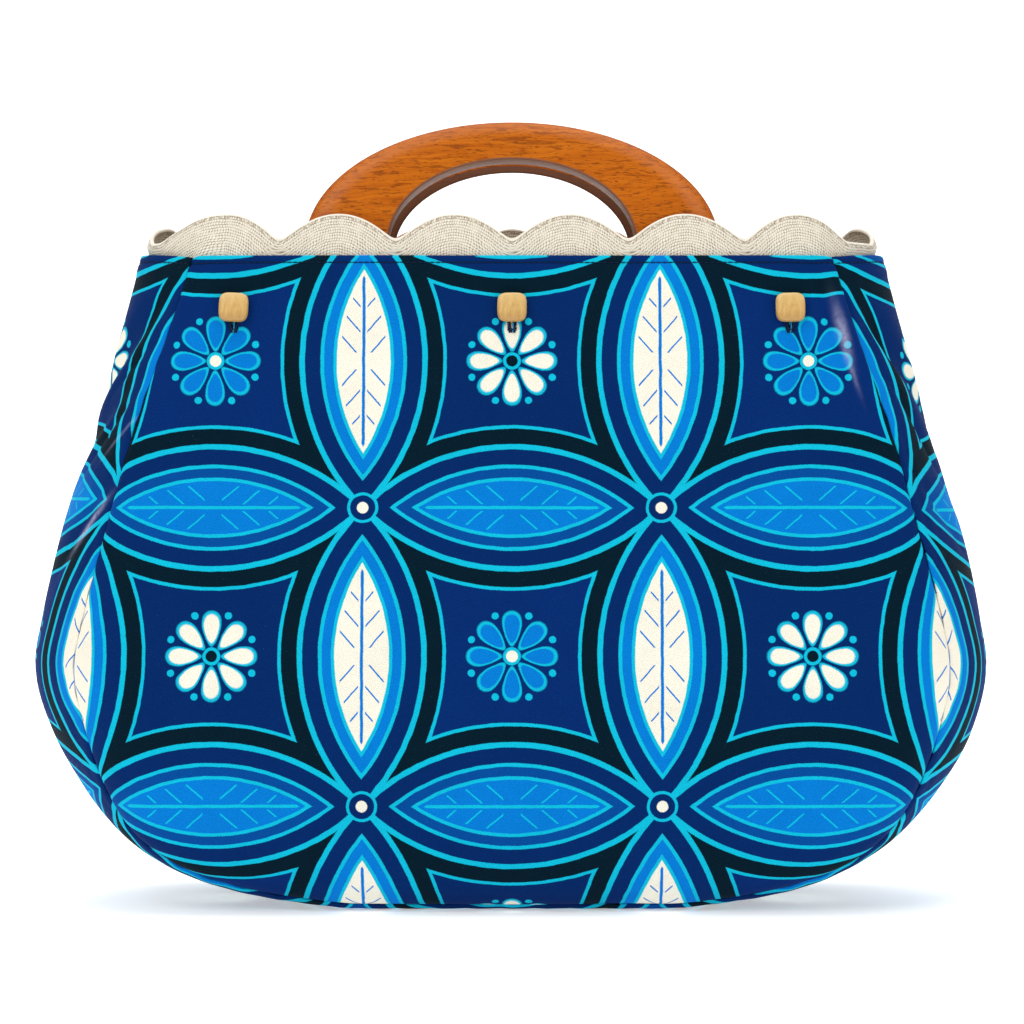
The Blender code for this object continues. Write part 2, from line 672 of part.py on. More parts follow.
def build():
    clear_scene()
    parts = new_collection("wooden_handle_bag")
    cutters = new_collection("cutters")
    canvas = plain_material("printed_canvas", (0.004, 0.040, 0.160), 0.80)
    linen = plain_material("linen", (0.700, 0.630, 0.500), 0.90)
    braid = plain_material("linen_braid", (0.760, 0.690, 0.570), 0.90)
    handle_wood = plain_material("handle_wood", (0.400, 0.085, 0.006), 0.35)
    button_wood = plain_material("button_wood", (0.690, 0.420, 0.120), 0.40)
    for side, facing in (("front", -1), ("back", 1)):
        panel = cover_panel(f"cover_{side}", facing, parts, canvas)
        for number in (1, 2, 3):
            button(number, facing, panel, parts, cutters, button_wood)
        handle(f"handle_{side}", facing, parts, handle_wood)
        handle_loop(f"handle_loop_{side}", facing, parts, linen)
        purse_panel(f"purse_{side}", facing, parts, linen)
    cover_gusset("cover_gusset", parts, canvas)
    purse_gusset("purse_gusset", parts, linen)
    scalloped_trim("scalloped_trim", parts, braid)


build()
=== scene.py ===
"""Looks of the handbag: printed canvas cover, linen purse with its scalloped braid, wooden handles and
buttons. Metres. X runs along the bag, the front faces -Y, Z is up, and the bag stands on Z = 0.
"""

import math
from collections import namedtuple

import bpy
import numpy as np
from mathutils import Matrix


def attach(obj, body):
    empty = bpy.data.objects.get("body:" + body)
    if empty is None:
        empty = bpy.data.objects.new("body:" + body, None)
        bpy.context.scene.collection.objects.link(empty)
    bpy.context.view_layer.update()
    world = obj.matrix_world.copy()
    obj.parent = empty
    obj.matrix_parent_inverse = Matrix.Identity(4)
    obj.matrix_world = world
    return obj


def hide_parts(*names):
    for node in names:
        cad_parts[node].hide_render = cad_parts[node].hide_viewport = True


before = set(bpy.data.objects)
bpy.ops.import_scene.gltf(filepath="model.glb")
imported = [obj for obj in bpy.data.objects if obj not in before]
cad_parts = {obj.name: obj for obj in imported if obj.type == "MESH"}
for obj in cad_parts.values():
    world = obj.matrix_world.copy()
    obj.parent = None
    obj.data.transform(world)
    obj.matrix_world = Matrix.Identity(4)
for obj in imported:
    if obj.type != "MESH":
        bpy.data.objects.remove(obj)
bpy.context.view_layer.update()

# Sizes shared with the solid model
COVER_HEIGHT = 0.2306
SEAM_HALF_WIDTH = 0.154
HALF_DEPTH = 0.056
GUSSET_BULGE = 0.0205
SEAM_ROLL = 0.0014
CANVAS = 0.0016
LINEN = 0.0015
BRAID = 0.0015
CLEARANCE = 0.0003
END_CLEARANCE = 0.0005
PURSE_ABOVE_COVER = 0.0035
RIM_LEAN = math.radians(8.0)
RIM_RISE = 0.0022
RIM_RISE_REACH = 0.040
CREST_ABOVE_COVER = 0.0150
VALLEY_ABOVE_COVER = 0.0058
BRAID_BELOW_COVER = 0.0105
VALLEY_ROUNDING = 0.13
EAR_LEAN = 0.0039
END_FLARE = 0.0016
END_FLARE_REACH = 0.0035
HANDLE_HALF_WIDTH = 0.0736
ARCH_RISE = 0.0443
GRIP_HALF_WIDTH = 0.0437
GRIP_RISE = 0.0302
ARCH_ABOVE_COVER = 0.0053
BAR_BELOW_COVER = 0.0177
BAR_HEIGHT = 0.0150
BAR_CORNER = 0.0090
GRIP_CORNER = 0.0050
HANDLE_THICKNESS = 0.0100
LOOP_HALF_WIDTH = 0.0360
LOOP_CLOTH = 0.0012
BUTTON_SIDE = 0.0104
BUTTON_THICKNESS = 0.0036
BUTTON_BELOW_COVER = 0.0190
BUTTON_SPACING = 0.0977
SHANK_RADIUS = 0.0013
BUTTONHOLE_LENGTH = 0.0120

# The seam between a panel and the gusset, from the corner of the rim down to the middle of the bottom.
# across: share of SEAM_HALF_WIDTH. up: share of the height from the bottom seam to the rim.
# bulge: share of GUSSET_BULGE, 0 where only SEAM_ROLL is left. flat: share of the gusset that is flat.
# depth: seam's distance from the middle plane, share of HALF_DEPTH.
Station = namedtuple("Station", "across up bulge flat depth")
SEAM_STATIONS = [Station(*row) for row in (
    (0.737, 1.000, 1.00, 0.00, 0.530),
    (0.800, 0.867, 0.95, 0.00, 0.616),
    (0.873, 0.718, 0.87, 0.00, 0.696),
    (0.932, 0.570, 0.94, 0.00, 0.750),
    (0.982, 0.439, 0.90, 0.00, 0.777),
    (1.000, 0.365, 0.87, 0.00, 0.786),
    (0.977, 0.282, 0.76, 0.10, 0.786),
    (0.932, 0.190, 0.45, 0.30, 0.768),
    (0.854, 0.106, 0.16, 0.55, 0.732),
    (0.701, 0.043, 0.03, 0.75, 0.705),
    (0.506, 0.012, 0.01, 0.85, 0.688),
    (0.338, 0.000, 0.00, 0.85, 0.679),
    (0.000, 0.000, 0.00, 0.85, 0.679),
)]
CORNER_STATION = 8

# Half depth of the bag along its middle, from the bottom to the rim, as shares of COVER_HEIGHT and
# HALF_DEPTH. Above the last row the wall goes on straight at RIM_LEAN.
Depth = namedtuple("Depth", "up depth")
MIDDLE_DEPTHS = [Depth(*row) for row in (
    (0.000, 0.875),
    (0.130, 0.973),
    (0.260, 1.000),
    (0.370, 0.978),
    (0.520, 0.900),
    (0.720, 0.764),
    (0.867, 0.683),
    (1.000, 0.607),
)]

# Soft folds of the gusset. side: -1 left, 1 right. across: from the front seam (-1) to the back seam (1).
# up: share of COVER_HEIGHT. tilt: degrees from level. length, width and drop: shares of GUSSET_BULGE.
Fold = namedtuple("Fold", "side across up tilt length width drop")
GUSSET_FOLDS = [Fold(*row) for row in (
    (-1, -0.45, 0.86, -48, 1.30, 0.24, 0.16),
    (-1, -0.40, 0.75, -42, 1.30, 0.26, 0.14),
    (-1, 0.45, 0.80, 45, 1.20, 0.30, 0.12),
    (1, -0.50, 0.84, -58, 1.50, 0.26, 0.14),
    (1, 0.40, 0.72, 44, 1.30, 0.30, 0.12),
)]
# Finer creases that only the cloth shows.
GUSSET_CREASES = [Fold(*row) for row in (
    (-1, -0.50, 0.90, -40, 0.90, 0.11, 0.075),
    (-1, -0.58, 0.82, -46, 1.20, 0.12, 0.120),
    (-1, -0.62, 0.73, -54, 1.30, 0.12, 0.120),
    (-1, -0.70, 0.60, -62, 1.10, 0.12, 0.080),
    (-1, 0.10, 0.66, 8, 0.90, 0.11, 0.050),
    (-1, 0.35, 0.48, 30, 1.10, 0.13, 0.050),
    (1, -0.66, 0.86, -66, 1.00, 0.10, 0.080),
    (1, -0.62, 0.74, -62, 1.20, 0.12, 0.100),
    (1, -0.60, 0.60, -52, 1.00, 0.12, 0.080),
    (1, 0.00, 0.70, -10, 0.90, 0.11, 0.050),
    (1, 0.42, 0.52, 36, 1.10, 0.13, 0.050),
)]
CREASE_POWER = 1.15
CREASE_FADE = 0.34
# Soft creases of a panel: places in metres, tilt in degrees from level, push: outward in metres.
Crease = namedtuple("Crease", "x z tilt length width push")
PANEL_CREASES = [Crease(*row) for row in (
    (0.1165, 0.2080, -76, 0.018, 0.0024, 0.0013),
    (0.1125, 0.2060, -74, 0.022, 0.0022, -0.0012),
    (0.1225, 0.1880, -68, 0.020, 0.0022, -0.0012),
    (0.1290, 0.1640, -70, 0.026, 0.0032, -0.0008),
    (-0.1160, 0.2060, 74, 0.018, 0.0026, -0.0006),
    (-0.1400, 0.1220, 62, 0.030, 0.0045, -0.0007),
    (-0.1340, 0.1180, 60, 0.026, 0.0040, 0.0005),
    (0.0400, 0.1450, 16, 0.050, 0.0100, -0.0005),
    (-0.0500, 0.1100, -12, 0.060, 0.0110, -0.0005),
    (0.0700, 0.0700, -8, 0.060, 0.0100, -0.0005),
    (-0.0900, 0.0380, -18, 0.045, 0.0070, -0.0006),
    (0.1000, 0.0330, 20, 0.040, 0.0060, -0.0006),
)]

PANEL_COLUMNS = (0.0, 0.18, 0.36, 0.53, 0.68, 0.80, 0.89, 0.95, 0.984, 1.0)
PANEL_ROWS = (0.0, 0.07, 0.15, 0.24, 0.34, 0.45, 0.56, 0.67, 0.77, 0.86, 0.925, 0.968, 0.99, 1.0)
GUSSET_COLUMNS = (0.0, 0.30, 0.58, 0.80, 0.92, 1.0)
BOTTOM_BLEND = 3.0

# Levels of the purse below its rim. up: share of COVER_HEIGHT. As shares of HALF_DEPTH, face and end: how
# far the purse stands in from the cover's outer face and from its ends, lift: how far it stands above it.
Level = namedtuple("Level", "up face end lift")
PURSE_LEVELS = [Level(*row) for row in (
    (0.860, 0.066, 0.110, 0.00),
    (0.660, 0.075, 0.150, 0.00),
    (0.470, 0.080, 0.130, 0.00),
    (0.300, 0.080, 0.120, 0.02),
    (0.170, 0.080, 0.120, 0.06),
    (0.090, 0.085, 0.140, 0.075),
    (0.040, 0.095, 0.200, 0.070),
)]
PURSE_BOTTOM_SHARE = 0.62

# Half scallops round the rim, each between a valley and a crest, from the valley at the left end of the
# front. length: share of the rim. fall: share of the length that isn't level. top: share of
# CREST_ABOVE_COVER. The front has six scallops, the two bag's ends an ear each, and the back seven.
Half = namedtuple("Half", "count length fall top")
HALF_SCALLOPS = [Half(*row) for row in (
    (1, 0.0594, 0.866, 1.000),
    (1, 0.0324, 1.000, 1.000),
    (8, 0.0349, 1.000, 1.000),
    (1, 0.0324, 1.000, 1.000),
    (1, 0.0594, 0.600, 1.000),
    (2, 0.0335, 1.000, 0.907),
    (14, 0.0288, 1.000, 1.000),
    (2, 0.0335, 1.000, 0.907),
)]
FIRST_VALLEY = -0.2314

SEAM_SAMPLES = 600
SLOPE_STEP = 0.0005

# Detail of the cloth. GUSSET_AWAY is a whole number of the print's repeats.
HEM_STITCH_BELOW = 0.0025
GUSSET_AWAY = 1.040
HEM_PROUD = 0.0003
HEM_WIDTH = 0.0072
HEM_STEP = 0.0003
HEM_SETTLE = 0.0020
HEM_GROOVE = 0.0005
HEM_GROOVE_WIDTH = 0.0006
SEAM_TUCK = 0.3
PUCKER_HEIGHT = 0.00007
PUCKER_REACH = 0.0012
SEAM_RIPPLE = 0.0011
SEAM_RIPPLE_REACH = 0.006
PANEL_RIPPLE = 0.00022
GUSSET_RIPPLE = 0.00025
SEAM_GATHER = 0.00035
GATHER_TURNS = 520.0
GATHER_REACH = 0.004
GROUND_CLOTH = 0.004
SEAM_DIP = 0.0011
SEAM_DIP_WIDTH = 0.0020
HEM_SHARE = 0.05
HEM_STEPS = 24
HEM_ROWS = 60
FOLD_STEPS = 5
STITCH_PITCH = 0.0021
STITCH_LENGTH = 0.0019
STITCH_RADIUS = 0.00020
BRAID_BEAD = 0.00092
BRAID_ROW = 0.00098
BRAID_BINDING = 0.0008
BRAID_PIPING = 0.00016
BRAID_COLUMN = 0.0007
BRAID_ROW_TURN = 0.022
BRAID_SOFTENING = 7
EAR_CURL = 0.0058
HANDLE_ROUNDING = 0.0050
GRIP_ROUNDING = 0.0011
HANDLE_ROUNDING_DEEP = 0.0032
HANDLE_CROWN = 0.0005
BUTTONHOLE_DROP = 0.0018
BUTTON_SQUARENESS = 3.9
BUTTON_TILTS = (-2.5, 0.0, 1.0)
BUTTON_DIMPLE = 0.0004
BUTTON_DIMPLE_REACH = 0.009
BUTTON_PUCKER = 0.00013
BUTTON_PUCKER_AT = 0.011
BUTTON_PUCKER_WIDTH = 0.006
HOLE_STITCHES = 27
HOLE_STITCH_INNER = 0.00028
HOLE_STITCH_OUTER = 0.0017
HOLE_STITCH_JITTER = 0.0001
HOLE_BAR = 0.0013
HOLE_THREAD_RADIUS = 0.00021
SWELLS = 9
SWELL_LENGTHS = (0.030, 0.075)
SWELL_SHARE = 0.0012
GUSSET_SWELL = 1.6
BOUND_SEAM_IN = 0.0010
BOUND_SEAM_RADIUS = 0.0011
CASING_CORNER = 0.0022
CASING_RIPPLE = 0.00018
CASING_GROOVE = 0.0002
CASING_GROOVE_AT = 0.003
CASING_GROOVE_WIDTH = 0.0005
LOOP_THREAD_RADIUS = 0.00028
BLUE_THREAD_RADIUS = 0.00024
THREAD_SWAY = 0.0006

# Section of a button from its middle to its back: share of its reach, share of its thickness.
BUTTON_PROFILE = (
    (0.2, 0.997), (0.4, 0.985), (0.6, 0.955), (0.74, 0.915), (0.84, 0.865), (0.91, 0.80), (0.955, 0.71),
    (0.985, 0.60), (1.0, 0.46), (0.992, 0.32), (0.965, 0.19), (0.915, 0.09), (0.84, 0.03), (0.7, 0.0),
    (0.24, 0.0),
)

# Studio light
KEY_POWER = 12.0
FILL_POWER = 4.5
TOP_POWER = 21.0
BACKDROP_POWER = 34.0
WORLD_STRENGTH = 0.44
FLOOR_GLOW = 0.42
FLOOR_FRONT = -3.0
FLOOR_BACK = 1.6
FLOOR_SIDE = 4.0
BACKDROP_TOP = 4.0
RANDOM = np.random.default_rng(7)
SIDE = {-1: "front", 1: "back"}
MM = 1000.0


# Shape functions, the same as the solid model's

def unit(vectors):
    return vectors / np.linalg.norm(vectors, axis=-1, keepdims=True)


def distance_along(line):
    """Distance gone at each point of a line."""
    return np.concatenate([[0.0], np.cumsum(np.linalg.norm(np.diff(line, axis=0), axis=1))])


def turned(across, up, tilt):
    """A place measured along and beside a direction that is tilted by so many degrees from level."""
    tilt = math.radians(tilt)
    return across * math.cos(tilt) + up * math.sin(tilt), up * math.cos(tilt) - across * math.sin(tilt)


def monotone(knots, values, at):
    """Smooth curve through the values that never swings past them."""
    knots, values, at = (np.asarray(v, float) for v in (knots, values, at))
    steps = np.diff(knots)
    slopes = np.diff(values) / steps
    tangents = np.zeros(len(knots))
    rising = slopes[:-1] * slopes[1:] > 0
    near, far = 2 * steps[1:] + steps[:-1], steps[1:] + 2 * steps[:-1]
    safe = np.where(rising, slopes[:-1] * slopes[1:], 1.0)
    mixed = (near + far) * safe / np.where(rising, near * slopes[1:] + far * slopes[:-1], 1.0)
    tangents[1:-1] = np.where(rising, mixed, 0.0)
    tangents[0], tangents[-1] = slopes[0], slopes[-1]
    index = np.clip(np.searchsorted(knots, at, side="right") - 1, 0, len(steps) - 1)
    step = steps[index]
    t = np.clip((at - knots[index]) / step, 0.0, 1.0)
    start = (1 + 2 * t) * (1 - t) ** 2 * values[index] + t * (1 - t) ** 2 * step * tangents[index]
    end = t * t * (3 - 2 * t) * values[index + 1] - t * t * (1 - t) * step * tangents[index + 1]
    return start + end


class Seam:
    """The right-hand seam, sampled from the corner of the rim to the middle of the bottom."""

    def __init__(self):
        rows = np.array(SEAM_STATIONS)
        x = rows[:, 0] * SEAM_HALF_WIDTH
        z = SEAM_ROLL + rows[:, 1] * (COVER_HEIGHT - SEAM_ROLL)
        knots = np.concatenate([[0.0], np.cumsum(np.hypot(np.diff(x), np.diff(z)))])
        self.corner = knots[CORNER_STATION]
        self.length = knots[-1]
        self.at = np.linspace(0.0, self.length, SEAM_SAMPLES)
        self.x = monotone(knots, x, self.at)
        self.z = monotone(knots, z, self.at)
        self.bulge = SEAM_ROLL + monotone(knots, rows[:, 2], self.at) * (GUSSET_BULGE - SEAM_ROLL)
        self.flat = monotone(knots, rows[:, 3], self.at)
        self.depth = monotone(knots, rows[:, 4], self.at) * HALF_DEPTH

    def read(self, column, along):
        return np.interp(along, self.at, getattr(self, column))

    def half_width(self, z):
        return np.interp(z, self.z[::-1], self.x[::-1])

    def along_at(self, z):
        return np.interp(z, self.z[::-1], self.at[::-1])

    def outward(self, along):
        """Direction in X and Z that the gusset bulges in: level above the widest place."""
        before, after = np.maximum(along - SLOPE_STEP, 0.0), np.minimum(along + SLOPE_STEP, self.length)
        run_x = self.read("x", after) - self.read("x", before)
        run_z = self.read("z", after) - self.read("z", before)
        return unit(np.stack([-run_z, np.minimum(run_x, 0.0)], axis=-1))

    def nearest(self, x, z):
        """Distance from each point of the panel to the seam, and the place along it."""
        start = np.stack([self.x[:-1], self.z[:-1]], axis=1)
        run = np.stack([np.diff(self.x), np.diff(self.z)], axis=1)
        squares = (run * run).sum(axis=1)
        distances, alongs = [], []
        points = np.stack([np.abs(x).ravel(), z.ravel()], axis=1)
        for block in np.array_split(points, max(len(points) // 2000, 1)):
            away = block[:, None, :] - start
            share = np.clip((away * run).sum(axis=2) / squares, 0.0, 1.0)
            gap = np.linalg.norm(away - share[..., None] * run, axis=2)
            best = gap.argmin(axis=1)
            row = np.arange(len(block))
            distances.append(gap[row, best])
            alongs.append(self.at[best] + share[row, best] * (self.at[best + 1] - self.at[best]))
        return np.concatenate(distances).reshape(x.shape), np.concatenate(alongs).reshape(x.shape)


SEAM = Seam()


def middle_depth(z):
    rows = np.array(MIDDLE_DEPTHS)
    above = np.maximum(z - COVER_HEIGHT, 0.0)
    inside = monotone(rows[:, 0] * COVER_HEIGHT, rows[:, 1] * HALF_DEPTH, np.minimum(z, COVER_HEIGHT))
    return inside - above * math.tan(RIM_LEAN)


def panel_depth(x, z):
    """Distance of a panel's outer face from the middle plane. It rolls over to meet the gusset."""
    x, z = np.broadcast_arrays(np.asarray(x, float), np.asarray(z, float))
    above = np.maximum(z - COVER_HEIGHT, 0.0)
    inside = np.minimum(z, COVER_HEIGHT)
    distance, along = SEAM.nearest(x, inside)
    middle = middle_depth(inside)
    edge = SEAM.read("depth", along)
    turn = 2.0 * SEAM.read("bulge", along) / (1.0 - SEAM.read("flat", along))
    roll = edge / turn / (middle - edge)
    return middle - (middle - edge) * np.exp(-roll * distance) - above * math.tan(RIM_LEAN)


def fold_drop(folds, side, across, z, depth, power=2.0):
    """How far the gusset is drawn in by its folds."""
    drop = 0.0
    for fold in folds:
        if fold.side != side:
            continue
        along, beside = turned((across - fold.across) * depth, z - fold.up * COVER_HEIGHT, fold.tilt)
        along, beside = along / (fold.length * GUSSET_BULGE), beside / (fold.width * GUSSET_BULGE)
        drop = drop + fold.drop * GUSSET_BULGE * np.exp(-along * along - np.abs(beside) ** power)
    return drop * (1.0 - across**6)


def gusset_points(side, along, across):
    """Points of the gusset's outer face, across running from the front seam (-1) to the back seam (1)."""
    x, z, bulge, flat, depth = (SEAM.read(c, along) for c in ("x", "z", "bulge", "flat", "depth"))
    outward = SEAM.outward(along)
    rolled = np.maximum(np.abs(across) - flat, 0.0) / (1.0 - flat)
    fade = 1.0 - np.exp(-((across / CREASE_FADE) ** 2))
    drop = fold_drop(GUSSET_FOLDS, side, across, z, depth)
    drop = drop + fade * fold_drop(GUSSET_CREASES, side, across, z, depth, CREASE_POWER)
    out = bulge * (1.0 - rolled**2) - drop
    rise = RIM_RISE * (1.0 - across**2) * np.maximum(1.0 - along / RIM_RISE_REACH, 0.0)
    height = z + outward[..., 1] * out + rise
    return np.stack([side * (x + outward[..., 0] * out), depth * across, height], axis=-1)


def level_section(z, face, end, steps):
    """Closed level loop at the height z, drawn in from the cover's outer face by face in Y and end in X."""
    face_steps, end_steps = steps
    inside = min(z, COVER_HEIGHT)
    width = float(SEAM.half_width(inside))
    along = SEAM.along_at(inside)
    bulge = float(SEAM.read("bulge", along)) * SEAM.outward(along)[0]
    depth = float(SEAM.read("depth", along)) - (z - inside) * math.tan(RIM_LEAN)
    x = width * np.sin(0.5 * math.pi * np.arange(face_steps) / face_steps)
    across = 1.0 - np.arange(end_steps + 1) / end_steps
    quarter_x = np.concatenate([x, width + bulge * (1.0 - across**2)])
    quarter_y = np.concatenate([panel_depth(x, np.full(len(x), z)) - face, (depth - face) * across])
    right = np.stack([np.concatenate([quarter_x, quarter_x[-2::-1]]),
                      np.concatenate([-quarter_y, quarter_y[-2::-1]])], axis=1)
    right *= [1.0 - end / (width + bulge), 1.0]
    return np.concatenate([right, right[-2:0:-1] * [-1.0, 1.0]])


def rim_inset(layers):
    """How far in from the cover's outer face the outer face of a layer at the rim lies."""
    return (layers + CLEARANCE) / math.cos(RIM_LEAN)


BRAID_INSET = rim_inset(CANVAS)
PURSE_INSET = rim_inset(CANVAS + CLEARANCE + BRAID)
HANDLE_INSET = rim_inset(CANVAS + CLEARANCE + BRAID + CLEARANCE + LINEN)


def scallop_height(share, top):
    """Height of the braid's edge over the cover's, share running from the crest to the valley."""
    rise = np.maximum(1.0 - share * share, 0.0)
    full = math.hypot(1.0, VALLEY_ROUNDING) - VALLEY_ROUNDING
    arch = (np.hypot(rise, VALLEY_ROUNDING) - VALLEY_ROUNDING) / full
    return VALLEY_ABOVE_COVER + (top - VALLEY_ABOVE_COVER) * arch


def arc(centre_x, centre_y, radius_x, radius_y, start, end, steps):
    angle = np.radians(np.linspace(start, end, steps + 1))
    return np.stack([centre_x + radius_x * np.cos(angle), centre_y + radius_y * np.sin(angle)], axis=1)


def d_outline(half_width, rise, base, corner, steps, corner_steps):
    """Half an ellipse standing on a straight base with round corners."""
    right = arc(half_width - corner, base + corner, corner, corner, -90, 0, corner_steps)
    left = arc(corner - half_width, base + corner, corner, corner, 180, 270, corner_steps)
    return np.concatenate([right, arc(0.0, 0.0, half_width, rise, 0, 180, steps), left])


def leaning(facing):
    """Frame of the purse's inner wall at the rim: X along the bag, Y up the wall, Z into the bag."""
    lean = Matrix.Identity(4)
    lean[0][0] = facing
    lean[1][1], lean[2][1] = -facing * math.sin(RIM_LEAN), math.cos(RIM_LEAN)
    lean[1][2], lean[2][2] = -facing * math.cos(RIM_LEAN), -math.sin(RIM_LEAN)
    lean[1][3] = facing * (float(middle_depth(COVER_HEIGHT)) - HANDLE_INSET)
    lean[2][3] = COVER_HEIGHT
    return lean


# Mesh helpers

def finer(values, times):
    """The table's values with times - 1 more between each two."""
    return np.interp(np.arange((len(values) - 1) * times + 1) / times, np.arange(len(values)), values)


def placed(name, data):
    """A new object of the scene."""
    made = bpy.data.objects.new(name, data)
    bpy.context.scene.collection.objects.link(made)
    return made


def new_piece(name, points, faces, material, replaces=(), uv=None, matrix=None):
    """One object riding on the bag. uv holds one pair for each corner of each face."""
    mesh = bpy.data.meshes.new(name)
    mesh.from_pydata(np.asarray(points, float).tolist(), [], [list(map(int, f)) for f in faces])
    if uv is not None:
        layer = mesh.uv_layers.new(name="cloth")
        layer.data.foreach_set("uv", np.asarray(uv, np.float32).ravel())
    mesh.shade_smooth()
    mesh.materials.append(material)
    made = placed(name, mesh)
    if matrix is not None:
        made.matrix_world = matrix
    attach(made, "root")
    if replaces:
        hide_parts(*replaces)


def grid_normals(points):
    """Unit normals of a grid of points, rows by columns, turned to (down the rows) x (along a row)."""
    down, along = np.gradient(points, axis=0), np.gradient(points, axis=1)
    normal = np.cross(down, along)
    return normal / np.maximum(np.linalg.norm(normal, axis=2, keepdims=True), 1e-12)


def loop_normals(points):
    """Unit normals of a grid whose rows are closed loops, turned like grid_normals."""
    down, along = np.gradient(points, axis=0), np.roll(points, -1, axis=1) - np.roll(points, 1, axis=1)
    return unit(np.cross(down, along))


def grid_faces(rows, columns, round_rows=True, round_columns=False):
    """Quads of a grid of points numbered row by row. Its rows, its columns or both close on themselves."""
    i, j = np.indices((rows - 1 + round_columns, columns - 1 + round_rows)).reshape(2, -1)
    near, far, k = i * columns, (i + 1) % rows * columns, (j + 1) % columns
    return np.stack([near + j, far + j, far + k, near + k], axis=1)


def sheet(points, uv, thickness, first_round, last_round):
    """Closed cloth with a wall behind the grid's face. A round end is a fold, drawn back to keep its place.

    Returns points, faces and the pair of UV values of each corner.
    """
    normal = grid_normals(points)
    radius = thickness / 2
    rows, columns = points.shape[:2]
    rings, maps = [points], [uv]
    angles = np.linspace(0, math.pi, FOLD_STEPS + 2)[1:-1]

    def fold_over(edge, beside, angles):
        outward = unit(points[edge] - points[beside])
        centre = points[edge] - radius * normal[edge]
        for a in angles:
            rings.append([centre + radius * (math.cos(a) * normal[edge] + math.sin(a) * outward)])
            maps.append([uv[edge]])

    if last_round:
        fold_over(-1, -2, angles)
    rings.append((points - thickness * normal)[::-1])
    maps.append(uv[::-1])
    if first_round:
        fold_over(0, 1, angles[::-1])
    ring = np.concatenate(rings)
    ring_uv = np.concatenate(maps)
    total = len(ring)
    faces = grid_faces(total, columns, round_rows=False, round_columns=True).tolist()
    last_turn = FOLD_STEPS if last_round else 0
    first_turn = FOLD_STEPS if first_round else 0

    def inner(row):
        return rows + last_turn + (rows - 1 - row)

    for column, left in ((0, True), (columns - 1, False)):
        for row in range(rows - 1):
            face = [row, inner(row), inner(row + 1), row + 1]
            faces.append([r * columns + column for r in (face if left else face[::-1])])
        if last_turn:
            face = [rows - 1] + [inner(rows - 1) - k for k in range(last_turn + 1)]
            faces.append([r * columns + column for r in (face if left else face[::-1])])
        if first_turn:
            face = [0] + [total - 1 - k for k in range(first_turn)] + [inner(0)]
            faces.append([r * columns + column for r in (face if left else face[::-1])])
    flat_uv = ring_uv.reshape(-1, 2)
    corners = flat_uv[np.concatenate([np.asarray(f) for f in faces])]
    return ring.reshape(-1, 3), faces, corners


def capsules(paths, radius):
    """Short round-ended rods, one for each (start, end, lift) with lift the direction of its bow."""
    points, faces = [], []
    shares = ((0.0, 0.35), (0.12, 0.85), (0.5, 1.0), (0.88, 0.85), (1.0, 0.35))
    sides = 6
    for start, end, lift in paths:
        start, end, lift = (np.asarray(v, float) for v in (start, end, lift))
        run = end - start
        axis = unit(run)
        side = unit(np.cross(axis, lift))
        up = np.cross(side, axis)
        base = len(points)
        for share, size in shares:
            bow = up * radius * (2.0 * math.sin(math.pi * share) - 0.8)
            for k in range(sides):
                angle = math.tau * k / sides
                around = math.cos(angle) * side + math.sin(angle) * up
                points.append(start + run * share + bow + radius * size * around)
        for ring in range(len(shares) - 1):
            for k in range(sides):
                n = (k + 1) % sides
                a, b = base + ring * sides, base + (ring + 1) * sides
                faces.append([a + k, a + n, b + n, b + k])
        faces.append([base + k for k in range(sides)][::-1])
        faces.append([base + (len(shares) - 1) * sides + k for k in range(sides)])
    return points, faces


def tube(path, radius, sides=8, ends=0.3):
    """Round thread or cord along a path, thinner at its two ends."""
    path = np.asarray(path, float)
    run = unit(np.gradient(path, axis=0))
    side = unit(np.cross(run, [0.31, 0.22, 0.93]))
    up = np.cross(side, run)
    size = np.full(len(path), radius)
    size[0] *= ends
    size[-1] *= ends
    angle = math.tau * np.arange(sides) / sides
    around = np.cos(angle)[None, :, None] * side[:, None] + np.sin(angle)[None, :, None] * up[:, None]
    points = (path[:, None] + size[:, None, None] * around).reshape(-1, 3)
    faces = grid_faces(len(path), sides)[:, ::-1].tolist()
    faces.append(list(range(sides)))
    faces.append([(len(path) - 1) * sides + k for k in range(sides)][::-1])
    return points, faces


def merged(parts):
    """Several (points, faces) as one."""
    points, faces = [], []
    for part_points, part_faces in parts:
        base = len(points)
        points += [tuple(p) for p in part_points]
        faces += [[base + i for i in f] for f in part_faces]
    return points, faces


# Shader helpers

def sign(operation, swapped=False):
    """A method of Field for one sign of a formula."""
    def method(self, other):
        return math_node(operation, other, self) if swapped else math_node(operation, self, other)
    return method


class Field:
    """A number in a shader, so that a formula reads as one."""

    tree = None

    def __init__(self, socket):
        self.socket = socket

    __add__, __radd__ = sign("ADD"), sign("ADD", swapped=True)
    __sub__, __rsub__ = sign("SUBTRACT"), sign("SUBTRACT", swapped=True)
    __mul__, __rmul__ = sign("MULTIPLY"), sign("MULTIPLY", swapped=True)
    __truediv__ = sign("DIVIDE")


def plug(value, socket):
    if isinstance(value, Field):
        Field.tree.links.new(value.socket, socket)
    elif isinstance(value, bpy.types.NodeSocket):
        Field.tree.links.new(value, socket)
    elif isinstance(value, tuple) and len(value) == 3 and len(socket.default_value) == 4:
        socket.default_value = (*value, 1.0)
    else:
        socket.default_value = value


def math_node(operation, *values, clamp=False):
    node = Field.tree.nodes.new("ShaderNodeMath")
    node.operation = operation
    node.use_clamp = clamp
    for value, socket in zip(values, node.inputs):
        plug(value, socket)
    return Field(node.outputs[0])


def absolute(value):
    return math_node("ABSOLUTE", value)


def hypot(a, b):
    return math_node("SQRT", a * a + b * b)


